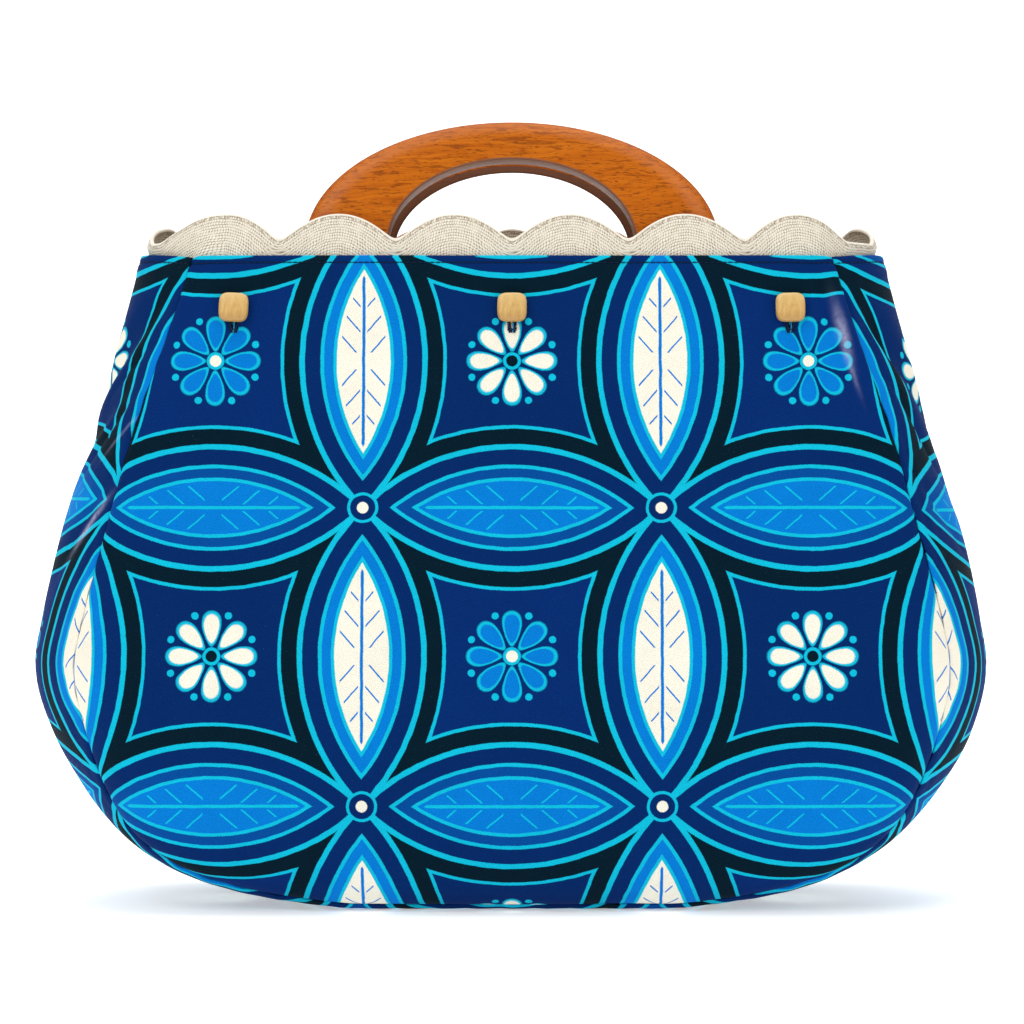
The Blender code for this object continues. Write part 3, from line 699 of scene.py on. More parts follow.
def nearest_line(value, pitch):
    """Distance to the nearest multiple of the pitch."""
    return math_node("PINGPONG", value / pitch, 0.5) * pitch


def within(value, soft):
    """1 where the value is above 0, 0 below, blending over soft."""
    return math_node("MULTIPLY_ADD", value, 1.0 / soft, 0.5, clamp=True)


def stripe(value, half_width, soft):
    return within(half_width - absolute(value), soft)


def vector(x, y, z=0.0):
    node = Field.tree.nodes.new("ShaderNodeCombineXYZ")
    for value, socket in zip((x, y, z), node.inputs):
        plug(value, socket)
    return node.outputs[0]


def noise(place, scale, detail=2.0, rough=0.5):
    node = Field.tree.nodes.new("ShaderNodeTexNoise")
    plug(place, node.inputs["Vector"])
    node.inputs["Scale"].default_value = scale
    node.inputs["Detail"].default_value = detail
    node.inputs["Roughness"].default_value = rough
    return Field(node.outputs["Fac"])


def cells(place):
    """A random number for each cell."""
    node = Field.tree.nodes.new("ShaderNodeTexWhiteNoise")
    node.noise_dimensions = "3D"
    plug(place, node.inputs["Vector"])
    return Field(node.outputs["Value"])


def mix(share, a, b):
    node = Field.tree.nodes.new("ShaderNodeMix")
    node.data_type = "RGBA"
    plug(share, node.inputs[0])
    plug(a, node.inputs[6])
    plug(b, node.inputs[7])
    return node.outputs[2]


def darken(colour, factor):
    """The colour times a number."""
    node = Field.tree.nodes.new("ShaderNodeMix")
    node.data_type = "RGBA"
    node.blend_type = "MULTIPLY"
    node.inputs[0].default_value = 1.0
    plug(colour, node.inputs[6])
    grey = Field.tree.nodes.new("ShaderNodeCombineColor")
    for socket in grey.inputs:
        plug(factor, socket)
    Field.tree.links.new(grey.outputs[0], node.inputs[7])
    return node.outputs[2]


def places(kind):
    """X, Y and Z in millimetres: kind is cloth for the UV map, or object."""
    if kind == "cloth":
        node = Field.tree.nodes.new("ShaderNodeUVMap")
        node.uv_map = "cloth"
        output = node.outputs[0]
    else:
        output = Field.tree.nodes.new("ShaderNodeTexCoord").outputs["Object"]
    split = Field.tree.nodes.new("ShaderNodeSeparateXYZ")
    Field.tree.links.new(output, split.inputs[0])
    return tuple(Field(s) * MM for s in split.outputs)


def surface(name, **sockets):
    """New material with a Principled shader; sockets are set on it by their names."""
    material = bpy.data.materials.new(name)
    material.use_nodes = True
    Field.tree = material.node_tree
    shader = material.node_tree.nodes["Principled BSDF"]
    for key, value in sockets.items():
        shader.inputs[key.replace("_", " ")].default_value = value
    return material, shader


def finish_surface(shader, colour, roughness, height, distance, strength):
    plug(colour, shader.inputs["Base Color"])
    plug(roughness, shader.inputs["Roughness"])
    bump = Field.tree.nodes.new("ShaderNodeBump")
    bump.inputs["Strength"].default_value = strength
    bump.inputs["Distance"].default_value = distance
    plug(height, bump.inputs["Height"])
    Field.tree.links.new(bump.outputs[0], shader.inputs["Normal"])


NAVY = (0.0008, 0.022, 0.128)
COBALT = (0.001, 0.070, 0.310)
AZURE = (0.001, 0.198, 0.643)
CYAN = (0.004, 0.506, 0.702)
INK = (0.0009, 0.0116, 0.0232)
CREAM = (0.930, 0.880, 0.740)
DEEP_NAVY = (0.001, 0.024, 0.150)
PAINTED_HIGHLIGHT_TINT = (0.48, 0.48, 0.68)
LINT = (0.10, 0.30, 0.46)

# Painted highlights on the creases, pale streaks where the folded cloth shines: u, v, length and width in
# millimetres of the cloth, tilt in degrees.
# The gusset's u starts GUSSET_AWAY from the panels'.
PaintedCreaseHighlight = namedtuple("PaintedCreaseHighlight", "u v tilt length width share")
PAINTED_CREASE_HIGHLIGHTS = [PaintedCreaseHighlight(*row) for row in (
    (116.5, -28.0, -75, 9.0, 1.5, 0.50),
    (119.0, -40.0, -72, 8.0, 0.9, 0.25),
    (1076.0, -100.0, 56, 10.0, 1.4, 0.60),
    (1078.0, -66.0, 50, 9.0, 0.8, 0.22),
)]

# Layout of the print in millimetres
LATTICE = 104.0
RING = LATTICE / math.sqrt(2.0)
BORDER = 7.0
CORE = 11.5
CRESCENT = 7.0
PRINT_SHIFT = (0.0, 38.0)


def weave_height(u, v, pitch):
    """Twill of the canvas: slanting ribs with the weft's small breaks."""
    ribs = math_node("SINE", (u + v) * (math.tau / pitch))
    weft = math_node("SINE", (v - u * 0.25) * (math.tau / (pitch * 0.8)))
    slub = noise(vector(u * 0.25, v * 2.2), 1.0, 3.0)
    return ribs * 0.5 + weft * 0.28 + slub * 0.9


def painted_highlight_streak(u, v, painted_light):
    """Painted highlight: a soft pale oval along a crease, broken up by the weave."""
    along, beside = turned(u - painted_light.u, v - painted_light.v, painted_light.tilt)
    along, beside = along / painted_light.length, beside / painted_light.width
    weave = noise(vector(u * 0.35, v * 0.35), 1.0, 4.0, 0.7) * 2.4 - 0.2
    return math_node("EXPONENT", 0.0 - (along * along + beside * beside)) * weave


def printed_canvas():
    """Canvas with a traditional print of interlaced circles: leaves where they cross, rosettes between."""
    material, shader = surface("printed_canvas_cloth", Specular_IOR_Level=0.03)
    u, v, _ = places("cloth")
    waver = noise(vector(u, v), 0.22, 3.0) - 0.5
    fray = noise(vector(u, v), 1.6, 2.0) - 0.5
    x = u + PRINT_SHIFT[0] + waver * 0.5 + fray * 0.22
    y = v + PRINT_SHIFT[1] - waver * 0.5 + fray * 0.22
    ax, ay = nearest_line(x, LATTICE), nearest_line(y, LATTICE)
    a, b = math_node("MAXIMUM", ax, ay), math_node("MINIMUM", ax, ay)
    upright = math_node("GREATER_THAN", ax, ay)
    ring = hypot(a - LATTICE, b) - RING
    soft = 0.25
    odd = math_node("PINGPONG", math_node("ROUND", x / LATTICE) + math_node("ROUND", y / LATTICE), 1.0)
    colour = mix(odd, NAVY, DEEP_NAVY)
    colour = mix(within(CRESCENT - ring, soft), colour, INK)
    colour = mix(stripe(ring - CRESCENT, 0.6, soft), colour, CYAN)
    colour = mix(within(0.0 - ring, soft), colour, NAVY)
    colour = mix(within((0.0 - BORDER) - ring, soft), colour, mix(upright, COBALT, AZURE))
    colour = mix(within((0.0 - CORE) - ring, soft), colour, mix(upright, AZURE, CREAM))
    off = LATTICE / 2 - a
    veins = stripe(nearest_line(b - off * 1.15, 9.0), 0.42, soft) * within(off - 1.2, soft)
    veins = math_node("MAXIMUM", veins * within(b - 3.0, soft), stripe(off, 0.55, soft))
    colour = mix(veins * within((0.0 - CORE - 1.8) - ring, soft), colour, mix(upright, CYAN, AZURE))
    colour = mix(stripe(ring + CORE, 0.6, soft), colour, CYAN)
    colour = mix(stripe(ring + BORDER, 0.65, soft), colour, CYAN)
    colour = mix(stripe(ring, 0.95, soft), colour, CYAN)
    knot = hypot(LATTICE / 2 - ax, LATTICE / 2 - ay)
    colour = mix(within(5.4 - knot, soft), colour, CYAN)
    colour = mix(within(4.4 - knot, soft), colour, NAVY)
    colour = mix(within(2.0 - knot, soft), colour, CREAM)
    rho = hypot(ax, ay)
    angle = math_node("ARCTAN2", ay, ax)
    petal_angle = nearest_line(angle, math.pi / 4)
    along, beside = rho * math_node("COSINE", petal_angle), rho * math_node("SINE", petal_angle)
    petal = hypot((along - 9.6) / 5.6, beside / (0.9 + along * 0.2)) - 1.0
    colour = mix(within(0.0 - petal, 0.16), colour, mix(odd, CREAM, AZURE))
    colour = mix(stripe(petal, 0.11, 0.12), colour, CYAN)
    dot_angle = math.pi / 8 - petal_angle
    dot = hypot(rho * math_node("COSINE", dot_angle) - 15.2, rho * math_node("SINE", dot_angle))
    colour = mix(within(1.25 - dot, soft), colour, CYAN)
    colour = mix(within(3.1 - rho, soft), colour, CYAN)
    colour = mix(within(2.0 - rho, soft), colour, mix(odd, INK, CREAM))
    height = weave_height(u, v, 0.95)
    mottle = noise(vector(u, v), 0.06, 4.0, 0.6)
    weft = noise(vector(u * 0.7, v * 2.6), 1.0, 2.0, 0.7)
    thread = noise(vector(u * 2.6, v * 0.7), 1.0, 2.0, 0.7) * 0.5 + weft * 0.5
    shade = 0.70 + mottle * 0.20 + thread * 0.22 + height * 0.120
    colour = darken(colour, shade)
    # Painted highlights: pale streaks along the creases where the folded cloth shines.
    for painted_light in PAINTED_CREASE_HIGHLIGHTS:
        colour = mix(painted_highlight_streak(u, v, painted_light) * painted_light.share, colour, PAINTED_HIGHLIGHT_TINT)
    # A dark line along the topstitch: painted shade in its groove, and the dark thread's colour carried on
    # between the stitches.
    near_hem = HEM_STITCH_BELOW * MM
    far_hem = 2 * MM * SEAM.length - near_hem
    hem = math_node("MAXIMUM", stripe(v + near_hem, 0.20, 0.2), stripe(v + far_hem, 0.20, 0.2))
    colour = mix(hem * 0.60, colour, INK)
    specks = within(noise(vector(u, v), 2.3, 1.0) - 0.79, 0.03)
    colour = mix(specks * 0.35, colour, LINT)
    roughness = 0.60 + thread * 0.14 - height * 0.02
    finish_surface(shader, colour, roughness, height, 0.00009, 0.7)
    return material


def linen_cloth(name, base, dark, pitch):
    """Plain-woven natural linen with slubs."""
    material, shader = surface(name, Specular_IOR_Level=0.1)
    x, y, z = places("object")
    turns = math.tau / pitch
    warp = math_node("SINE", x * turns + noise(vector(x * 0.2, z * 0.02), 1.0) * 3.0)
    weft = math_node("SINE", (z + y * 0.7) * turns + noise(vector(x * 0.02, z * 0.2), 1.0) * 3.0)
    height = math_node("MAXIMUM", warp, weft)
    slub = noise(vector(x * 0.12, y * 0.12, z * 1.7), 1.0, 3.0, 0.65)
    slub_up = noise(vector(x * 1.7, y * 0.12, z * 0.12), 1.0, 3.0, 0.65)
    tone = noise(vector(x, y, z), 0.05, 3.0)
    colour = mix(slub * 0.5 + slub_up * 0.45 - 0.05, dark, base)
    colour = darken(colour, 0.80 + tone * 0.25 + height * 0.10)
    finish_surface(shader, colour, 0.85 - slub * 0.1, height + slub * 0.8, 0.00012, 0.8)
    return material


def braid_cloth():
    """Stitched braid: rows along the scallops, each a line of round pale beads on a tan ground."""
    material, shader = surface("braid_stitched", Specular_IOR_Level=0.1)
    u, v, _ = places("cloth")
    bead, row = BRAID_BEAD * MM, BRAID_ROW * MM
    drift = noise(vector(u, v), 0.25, 2.0) - 0.5
    across = v + drift * 0.9
    number = math_node("FLOOR", across / row)
    along = u + cells(vector(number, 0.0)) * bead + drift * 1.2
    beside = nearest_line(along, bead) / (bead / 2)
    over = 1.0 - nearest_line(across, row) / (row / 2)
    round_bead = hypot(beside, over)
    chance = cells(vector(math_node("FLOOR", along / bead + 0.5), number, 3.0))
    inside = within(v - BRAID_BINDING * MM, 0.25)
    ground = within(round_bead - 0.80, 0.45) * inside
    points = within(round_bead - 0.98, 0.25) * within(chance - 0.40, 0.3) * inside
    tone = noise(vector(u, v), 0.30, 4.0, 0.6)
    fibre = noise(vector(u * 0.6, v * 3.5), 1.0, 3.0, 0.7)
    colour = mix(tone * 0.9 + fibre * 0.6 - 0.25, (0.740, 0.660, 0.520), (0.970, 0.930, 0.840))
    colour = mix(ground * 0.55, colour, (0.520, 0.425, 0.290))
    colour = mix(points * 0.85, colour, (0.200, 0.140, 0.080))
    specks = within(noise(vector(u * 0.9, v * 0.8, 5.0), 1.0, 2.0) - 0.52, 0.12)
    specks = stripe(v - 1.35, 0.55, 0.3) * specks
    colour = mix(specks * 0.62, colour, (0.230, 0.165, 0.095))
    height = (1.0 - round_bead * 0.7) * inside + fibre * 0.4 - specks * 0.5
    finish_surface(shader, colour, 0.82, height, 0.00020, 0.8)
    return material


def handle_wood():
    """Stained hardwood with fine grain along X, short wavy dark pores and a satin varnish. Painted shade and
    reflection tint the grip's inner wall grey-brown, painted shade darkens the outer rim and a painted
    highlight band lies just inside it.
    """
    material, shader = surface("handle_wood_varnished", Coat_Weight=0.05, Coat_Roughness=0.25,
                               Specular_IOR_Level=0.08)
    x, y, z = places("object")
    bend = noise(vector(x * 0.03, y * 0.06, z * 0.06), 1.0, 2.0) * 8.0
    ripple = noise(vector(x * 0.22, y * 0.30, z * 0.30), 1.0, 2.0) * 1.8
    grain = noise(vector(x * 0.022, y * 0.8 + bend, z * 0.8), 1.0, 5.0, 0.62)
    bands = noise(vector(x * 0.008, y * 0.14 + bend * 0.2, z * 0.2), 1.0, 2.0)
    fine = noise(vector(x * 0.11, y * 4.2 + ripple, z * 4.2), 1.0, 3.0, 0.7)
    pores = within(noise(vector(x * 0.42, y * 2.9 + ripple, z * 2.9), 1.0, 1.0) - 0.655, 0.06)
    flecks = within(noise(vector(x * 0.14, y * 1.10 + ripple, z * 1.10 + 9.0), 1.0, 2.0) - 0.605, 0.08)
    colour = mix(grain * 2.4 - 0.70, (0.350, 0.066, 0.002), (0.620, 0.168, 0.007))
    colour = mix(bands * 1.5 - 0.45, colour, (0.540, 0.132, 0.004))
    colour = darken(colour, 0.86 + fine * 0.28)
    colour = mix(pores * 0.70, colour, (0.105, 0.018, 0.001))
    colour = mix(flecks * 0.58, colour, (0.165, 0.030, 0.002))
    # Painted shade and reflection: the grip's inner wall and the wood just round it are tinted a dull
    # grey-brown, reaching a little further on the half of the thickness above z = 0.
    grip = hypot(x / (GRIP_HALF_WIDTH * MM), y / (GRIP_RISE * MM))
    painted_light = within(z, 1.0) * 0.07 + 1.018
    colour = mix(within(painted_light - grip, 0.012) * 0.88, colour, (0.185, 0.092, 0.060))
    # Painted shade darkens the outer rim; a faint painted highlight band lies just inside it.
    outside = hypot(x / (HANDLE_HALF_WIDTH * MM), y / (ARCH_RISE * MM))
    colour = mix(within(outside - 0.982, 0.02) * 0.45, colour, (0.300, 0.060, 0.002))
    colour = mix(stripe(outside - 0.935, 0.028, 0.06) * 0.22, colour, (0.700, 0.300, 0.160))
    height = fine * 0.5 - pores * 1.2 - flecks * 0.4
    finish_surface(shader, colour, 0.34 + grain * 0.10 + pores * 0.2, height, 0.00006, 0.6)
    return material


def button_wood():
    """Pale golden wood with straight grain, with a painted highlight towards the top and painted shade
    towards the bottom.
    """
    material, shader = surface("button_wood_polished", Coat_Weight=0.25, Coat_Roughness=0.25)
    x, y, z = places("object")
    bend = noise(vector(x * 0.25, y * 0.25, z * 0.15), 1.0, 2.0) * 1.5
    grain = noise(vector(x * 0.9 + bend, y * 0.9, z * 0.35), 1.0, 4.0, 0.65)
    fine = noise(vector(x * 6.0, y * 6.0, z * 0.8), 1.0, 2.0, 0.7)
    colour = mix(grain * 1.7 - 0.35, (0.450, 0.240, 0.058), (0.740, 0.475, 0.155))
    # Painted highlight towards the top of the button's face and painted shade towards its bottom.
    colour = mix(within(z / 5.0 - 0.35, 0.9) * 0.45, colour, (0.790, 0.540, 0.210))
    colour = mix(within(0.0 - z / 5.0 - 0.55, 0.5) * 0.55, colour, (0.400, 0.200, 0.045))
    colour = darken(colour, 0.88 + fine * 0.24)
    finish_surface(shader, colour, 0.38 + grain * 0.15, fine, 0.00005, 0.5)
    return material


def thread(name, base, dark):
    """Twisted sewing thread."""
    material, shader = surface(name, Specular_IOR_Level=0.2)
    x, y, z = places("object")
    twist = math_node("SINE", (x + y * 0.6 + z) * (math.tau / 0.32))
    tone = noise(vector(x, y, z), 0.9, 2.0)
    colour = mix(tone * 0.9 + twist * 0.15, dark, base)
    finish_surface(shader, colour, 0.62, twist, 0.00004, 0.6)
    return material


PRINT = printed_canvas()
LINEN_CLOTH = linen_cloth("linen_woven", (0.760, 0.690, 0.565), (0.520, 0.440, 0.320), 0.8)
BRAID_CLOTH = braid_cloth()
HANDLE_WOOD = handle_wood()
BUTTON_WOOD = button_wood()
NAVY_THREAD = thread("thread_navy", (0.002, 0.020, 0.080), (0.001, 0.006, 0.022))
BLUE_THREAD = thread("thread_blue", (0.020, 0.330, 0.560), (0.004, 0.110, 0.280))
LINEN_THREAD = thread("thread_linen", (0.700, 0.620, 0.480), (0.380, 0.310, 0.220))


# Cover

def panel_places(columns, rows):
    """Places in X and Z of the right half of a panel, row by row from the rim down."""
    u, v = columns[None, :], rows[:, None]
    bottom = SEAM.corner + (1.0 - u) * (SEAM.length - SEAM.corner)
    blend = v**BOTTOM_BLEND
    corner_x, corner_z = SEAM.read("x", SEAM.corner), SEAM.read("z", SEAM.corner)
    x = u * SEAM.read("x", v * SEAM.corner) + blend * (SEAM.read("x", bottom) - u * corner_x)
    z = SEAM.read("z", v * SEAM.corner) + blend * (SEAM.read("z", bottom) - corner_z)
    return x, z


def cover_rows(times):
    """Shares of the way down the cover's sides, closest together at the hem."""
    rows = finer(PANEL_ROWS, times)
    return np.concatenate([np.linspace(0.0, HEM_SHARE, HEM_STEPS)[:-1], rows[rows >= HEM_SHARE]])


def travelled(points, axis, plane):
    """Distance gone along an axis of the grid, measured in the two directions of the plane."""
    step = np.linalg.norm(np.diff(points[..., plane], axis=axis), axis=2)
    return np.insert(np.cumsum(step, axis=axis), 0, 0.0, axis=axis)


def hem_profile(below):
    """How far the cloth stands out near its top edge: a double hem, drawn in by its topstitch."""
    hem = HEM_PROUD / (1.0 + np.exp((below - HEM_WIDTH) / HEM_STEP))
    groove = -HEM_GROOVE * np.exp(-(((below - HEM_STITCH_BELOW) / HEM_GROOVE_WIDTH) ** 2))
    return hem + groove


def settle(points, below):
    """Draws the end columns towards their neighbours and lowers the top to the middle of its fold."""
    points[:, 0] += (points[:, 1] - points[:, 0]) * SEAM_TUCK
    points[:, -1] += (points[:, -2] - points[:, -1]) * SEAM_TUCK
    points[..., 2] -= CANVAS / 2 * np.exp(-below / HEM_SETTLE)


def stitch_puckers(place, below):
    """Small ripples that a topstitch leaves."""
    near = np.exp(-(((below - HEM_STITCH_BELOW) / PUCKER_REACH) ** 2))
    return PUCKER_HEIGHT * np.sin(math.tau * place / STITCH_PITCH) * near


def cover_panel(name, facing):
    """Printed front (facing -1) or back (1) of the cover. Returns its grid: points, normals and UV."""
    half_x, half_z = panel_places(finer(PANEL_COLUMNS, 10), cover_rows(10))
    depth = panel_depth(half_x, half_z)
    x = np.concatenate([-half_x[:, :0:-1], half_x], axis=1)
    z = np.concatenate([half_z[:, :0:-1], half_z], axis=1)
    y = np.concatenate([depth[:, :0:-1], depth], axis=1)
    points = np.stack([x, facing * y, z], axis=2)
    if facing > 0:
        points = points[:, ::-1]
    run_x = travelled(points, 1, [0, 1])
    middle = run_x[:, points.shape[1] // 2][:, None]
    below = travelled(points, 0, [1, 2])
    uv = np.stack([run_x - middle, -below], axis=2)
    normal = grid_normals(points)
    distance, _ = SEAM.nearest(points[..., 0], points[..., 2])
    out = hem_profile(below) + stitch_puckers(uv[..., 0], below)
    out -= SEAM_DIP * np.exp(-distance / SEAM_DIP_WIDTH)
    out += PANEL_RIPPLE * np.sin(distance / SEAM_RIPPLE) * np.exp(-distance / SEAM_RIPPLE_REACH)
    for crease in PANEL_CREASES:
        run_x, run_z = -facing * points[..., 0] - crease.x, points[..., 2] - crease.z
        along, beside = turned(run_x, run_z, crease.tilt)
        out += crease.push * np.exp(-(along / crease.length) ** 2 - (beside / crease.width) ** 2)
    for number in (-1, 0, 1):
        run_x = points[..., 0] - number * BUTTON_SPACING
        run_z = points[..., 2] - (COVER_HEIGHT - BUTTON_BELOW_COVER)
        reach = np.hypot(run_x, run_z)
        turn = np.arctan2(run_z, run_x)
        out -= BUTTON_DIMPLE * np.exp(-((reach / BUTTON_DIMPLE_REACH) ** 2))
        away = (reach - BUTTON_PUCKER_AT) / BUTTON_PUCKER_WIDTH
        out += BUTTON_PUCKER * np.cos(7 * turn + number) * np.exp(-(away**2))
    out += soft_waves(points, facing)
    points = points + normal * out[..., None]
    settle(points, below)
    body, faces, corners = sheet(points, uv, CANVAS, True, False)
    new_piece(f"printed_{name}", body, faces, PRINT, [name], corners)
    return points, grid_normals(points), uv


def soft_waves(points, seed):
    """Low uneven swells of hanging cloth, the same each run."""
    rng = np.random.default_rng(20 + int(seed))
    out = 0.0
    for _ in range(SWELLS):
        direction = unit(rng.normal(size=3) * [1.0, 1.0, 0.7])
        length = rng.uniform(*SWELL_LENGTHS)
        turns = points @ direction * (math.tau / length) + rng.uniform(0, math.tau)
        out = out + np.sin(turns) * length
    return out * SWELL_SHARE


def cover_gusset():
    """Printed strip down the left side, under the bag and up the right. Returns its grid too."""
    sides = cover_rows(8) * SEAM.corner
    bottom = SEAM.corner + (1.0 - finer(PANEL_COLUMNS, 6)[::-1][1:]) * (SEAM.length - SEAM.corner)
    along = np.concatenate([sides, bottom])
    across = finer(GUSSET_COLUMNS, 9)
    across = np.concatenate([across[::-1], -across[1:]])
    places_along, places_across = np.meshgrid(along, across, indexing="ij")
    halves = [gusset_points(side, places_along, places_across) for side in (-1, 1)]
    points = np.concatenate([halves[0][:-1], halves[1][::-1]])
    down = np.concatenate([along[:-1], 2 * SEAM.length - along[::-1]])
    run = travelled(points, 1, [0, 1, 2])
    middle = run[:, run.shape[1] // 2][:, None]
    uv = np.stack([run - middle + GUSSET_AWAY, -np.broadcast_to(down[:, None], run.shape)], axis=2)
    below = np.minimum(down, 2 * SEAM.length - down)[:, None] + 0.0 * run
    edge = np.minimum(run, run[:, -1:] - run)
    out = hem_profile(below) + stitch_puckers(run, below)
    out -= SEAM_DIP * np.exp(-edge / SEAM_DIP_WIDTH)
    out += GUSSET_RIPPLE * np.sin(edge / SEAM_RIPPLE) * np.exp(-edge / SEAM_RIPPLE_REACH)
    out += SEAM_GATHER * np.sin(down * GATHER_TURNS)[:, None] * np.exp(-edge / GATHER_REACH)
    resting = np.clip((points[..., 2] - 0.002) / 0.01, 0.0, 1.0)
    out += soft_waves(points, 5) * GUSSET_SWELL * resting
    out = np.where(points[..., 2] < GROUND_CLOTH, np.minimum(out, 0.0), out)
    points = points + grid_normals(points) * out[..., None]
    settle(points, below)
    body, faces, corners = sheet(points, uv, CANVAS, True, True)
    new_piece("printed_cover_gusset", body, faces, PRINT, ["cover_gusset"], corners)
    return points, grid_normals(points), uv


def stitch_run(line, normals, pitch=STITCH_PITCH, length=STITCH_LENGTH, inset=0.0008):
    """Starts and ends of stitches along a line of points, bowing out along the normals."""
    gone = distance_along(line)
    count = int((gone[-1] - 2 * inset) // pitch)
    first = (gone[-1] - count * pitch) / 2
    paths = []
    for k in range(count):
        at = first + k * pitch + (pitch - length) / 2 + RANDOM.uniform(-0.00008, 0.00008)
        ends = [np.array([np.interp(at + s, gone, line[:, i]) for i in range(3)]) for s in (0.0, length)]
        lift = np.array([np.interp(at, gone, normals[:, i]) for i in range(3)])
        paths.append((ends[0], ends[1], lift))
    return paths


def row_at(points, uv, below):
    """Line of the grid that lies this far below the top edge."""
    line = []
    for column in range(points.shape[1]):
        depth = -uv[:, column, 1]
        line.append([np.interp(below, depth, points[:, column, i]) for i in range(3)])
    return np.array(line)


# Purse

def purse_loops(steps):
    """Level loops of the purse from its rim down to its flat bottom, as many points as steps give."""
    rim = (COVER_HEIGHT + PURSE_ABOVE_COVER, COVER_HEIGHT, COVER_HEIGHT - BRAID_BELOW_COVER)
    end = PURSE_INSET + 2 * END_CLEARANCE
    loops = [np.insert(level_section(z, PURSE_INSET, end, steps), 2, z, axis=1) for z in rim]
    for level in PURSE_LEVELS:
        face, end, lift = (share * HALF_DEPTH for share in (level.face, level.end, level.lift))
        z = level.up * COVER_HEIGHT
        loops.append(np.insert(level_section(z, face, end, steps), 2, z + lift, axis=1))
    floor = 2 * CLEARANCE + CANVAS
    loops.append(loops[-1] * [PURSE_BOTTOM_SHARE, PURSE_BOTTOM_SHARE, 0.0] + [0.0, 0.0, floor])
    return np.array(loops)


def purse():
    """Linen purse: one smooth shell with seams down its corners, finer than its three solids."""
    steps = (28, 14)
    loops = purse_loops(steps)
    knots = np.concatenate([[0.0], np.cumsum(np.linalg.norm(np.diff(loops, axis=0), axis=2).mean(axis=1))])
    at = np.interp(np.linspace(0, 1, 120), [0, 0.25, 1], [0, 0.30 * knots[-1], knots[-1]])
    at = np.unique(np.concatenate([at, knots]))
    fine = np.empty((len(at), loops.shape[1], 3))
    for i in range(loops.shape[1]):
        for axis in range(3):
            fine[:, i, axis] = np.interp(at, knots, loops[:, i, axis])
    smooth = fine.copy()
    for _ in range(6):
        smooth[2:-6] = (smooth[1:-7] + 2 * smooth[2:-6] + smooth[3:-5]) / 4
    floor = [smooth[-1] * [share, share, 1.0] for share in (0.8, 0.6, 0.4, 0.2)]
    outer = np.concatenate([smooth, np.array(floor)])
    columns = outer.shape[1]
    normal = loop_normals(outer)
    inner = outer - LINEN * normal
    radius = LINEN / 2
    angles = np.linspace(0, math.pi, 6)[1:-1][::-1]
    centre = outer[0] - radius * normal[0]
    lip = [centre + radius * (math.cos(a) * normal[0] + [0, 0, math.sin(a)]) for a in angles]
    ring = np.concatenate([inner[::-1], np.array(lip), outer])
    total = len(ring)
    faces = grid_faces(total, columns).tolist()
    faces.append(list(range(columns)))
    faces.append([(total - 1) * columns + k for k in range(columns)][::-1])
    new_piece("linen_purse", ring.reshape(-1, 3), faces, LINEN_CLOTH,
              ["purse_front", "purse_back", "purse_gusset"])
    corners = [steps[0], steps[0] + 2 * steps[1], columns - steps[0] - 2 * steps[1], columns - steps[0]]
    parts = []
    for column in corners:
        path = inner[6:, column] - normal[6:, column] * BOUND_SEAM_IN
        parts.append(tube(path[:-4], BOUND_SEAM_RADIUS, ends=0.6))
    points, faces = merged(parts)
    new_piece("purse_bound_seams", points, faces, LINEN_CLOTH)


# Braid

def loop_lengths(loop):
    """Distance gone round a closed loop at each of its points, back to the first."""
    closed = np.concatenate([loop, loop[:1]])
    return closed, distance_along(closed)


def round_the_rim(loop, share):
    """Points of a closed loop at shares of the way round from its first point."""
    closed, gone = loop_lengths(loop)
    at = share * gone[-1] % gone[-1]
    return np.stack([np.interp(at, gone, closed[:, i]) for i in (0, 1)], axis=-1)


class Scallop:
    """One scallop of the braid, in the plane of its unrolled rim: run along it, height over the cover."""

    def __init__(self, start, around, rising, falling):
        self.start = start
        self.left, self.right = rising.length * around, falling.length * around
        self.crest = start + self.left
        self.falls = (rising.fall, falling.fall)
        self.top = rising.top * CREST_ABOVE_COVER

    def edge(self, run):
        """Height of the scallop's edge at distances along the rim."""
        away = run - self.crest
        share = np.where(away < 0, -away / (self.left * self.falls[0]), away / (self.right * self.falls[1]))
        return scallop_height(share, self.top)

    def columns(self):
        """Distances along the rim from the left valley to the right one, both included."""
        left = np.linspace(self.start, self.crest, round(self.left / BRAID_COLUMN) + 1)
        right = np.linspace(self.crest, self.crest + self.right, round(self.right / BRAID_COLUMN) + 1)
        return np.concatenate([left, right[1:]])

    def rows(self, run, height):
        """Place along the braid's rows and depth below its edge. The rows keep their distance to it."""
        knots = np.linspace(self.start, self.crest + self.right, 181)
        line = np.stack([knots, self.edge(knots)], axis=1)
        step = np.diff(line, axis=0)
        length = np.linalg.norm(step, axis=1)
        gone = np.concatenate([[0.0], np.cumsum(length)])
        away = np.stack([run.ravel(), height.ravel()], axis=1)[:, None, :] - line[:-1]
        share = np.clip((away * step).sum(axis=2) / length**2, 0.0, 1.0)
        gap = np.linalg.norm(away - share[..., None] * step, axis=2)
        best = gap.argmin(axis=1)
        point = np.arange(len(best))
        depth = gap[point, best]
        along = gone[best] + share[point, best] * length[best] - np.interp(self.crest, knots, gone)
        along = along * np.maximum(1.0 - depth / BRAID_ROW_TURN, 0.35)
        return along.reshape(run.shape), depth.reshape(run.shape)


def scallops(around):
    halves = [half for half in HALF_SCALLOPS for _ in range(half.count)]
    start = FIRST_VALLEY * around
    made = []
    for rising, falling in zip(halves[::2], halves[1::2]):
        made.append(Scallop(start, around, rising, falling))
        start += made[-1].left + made[-1].right
    return made


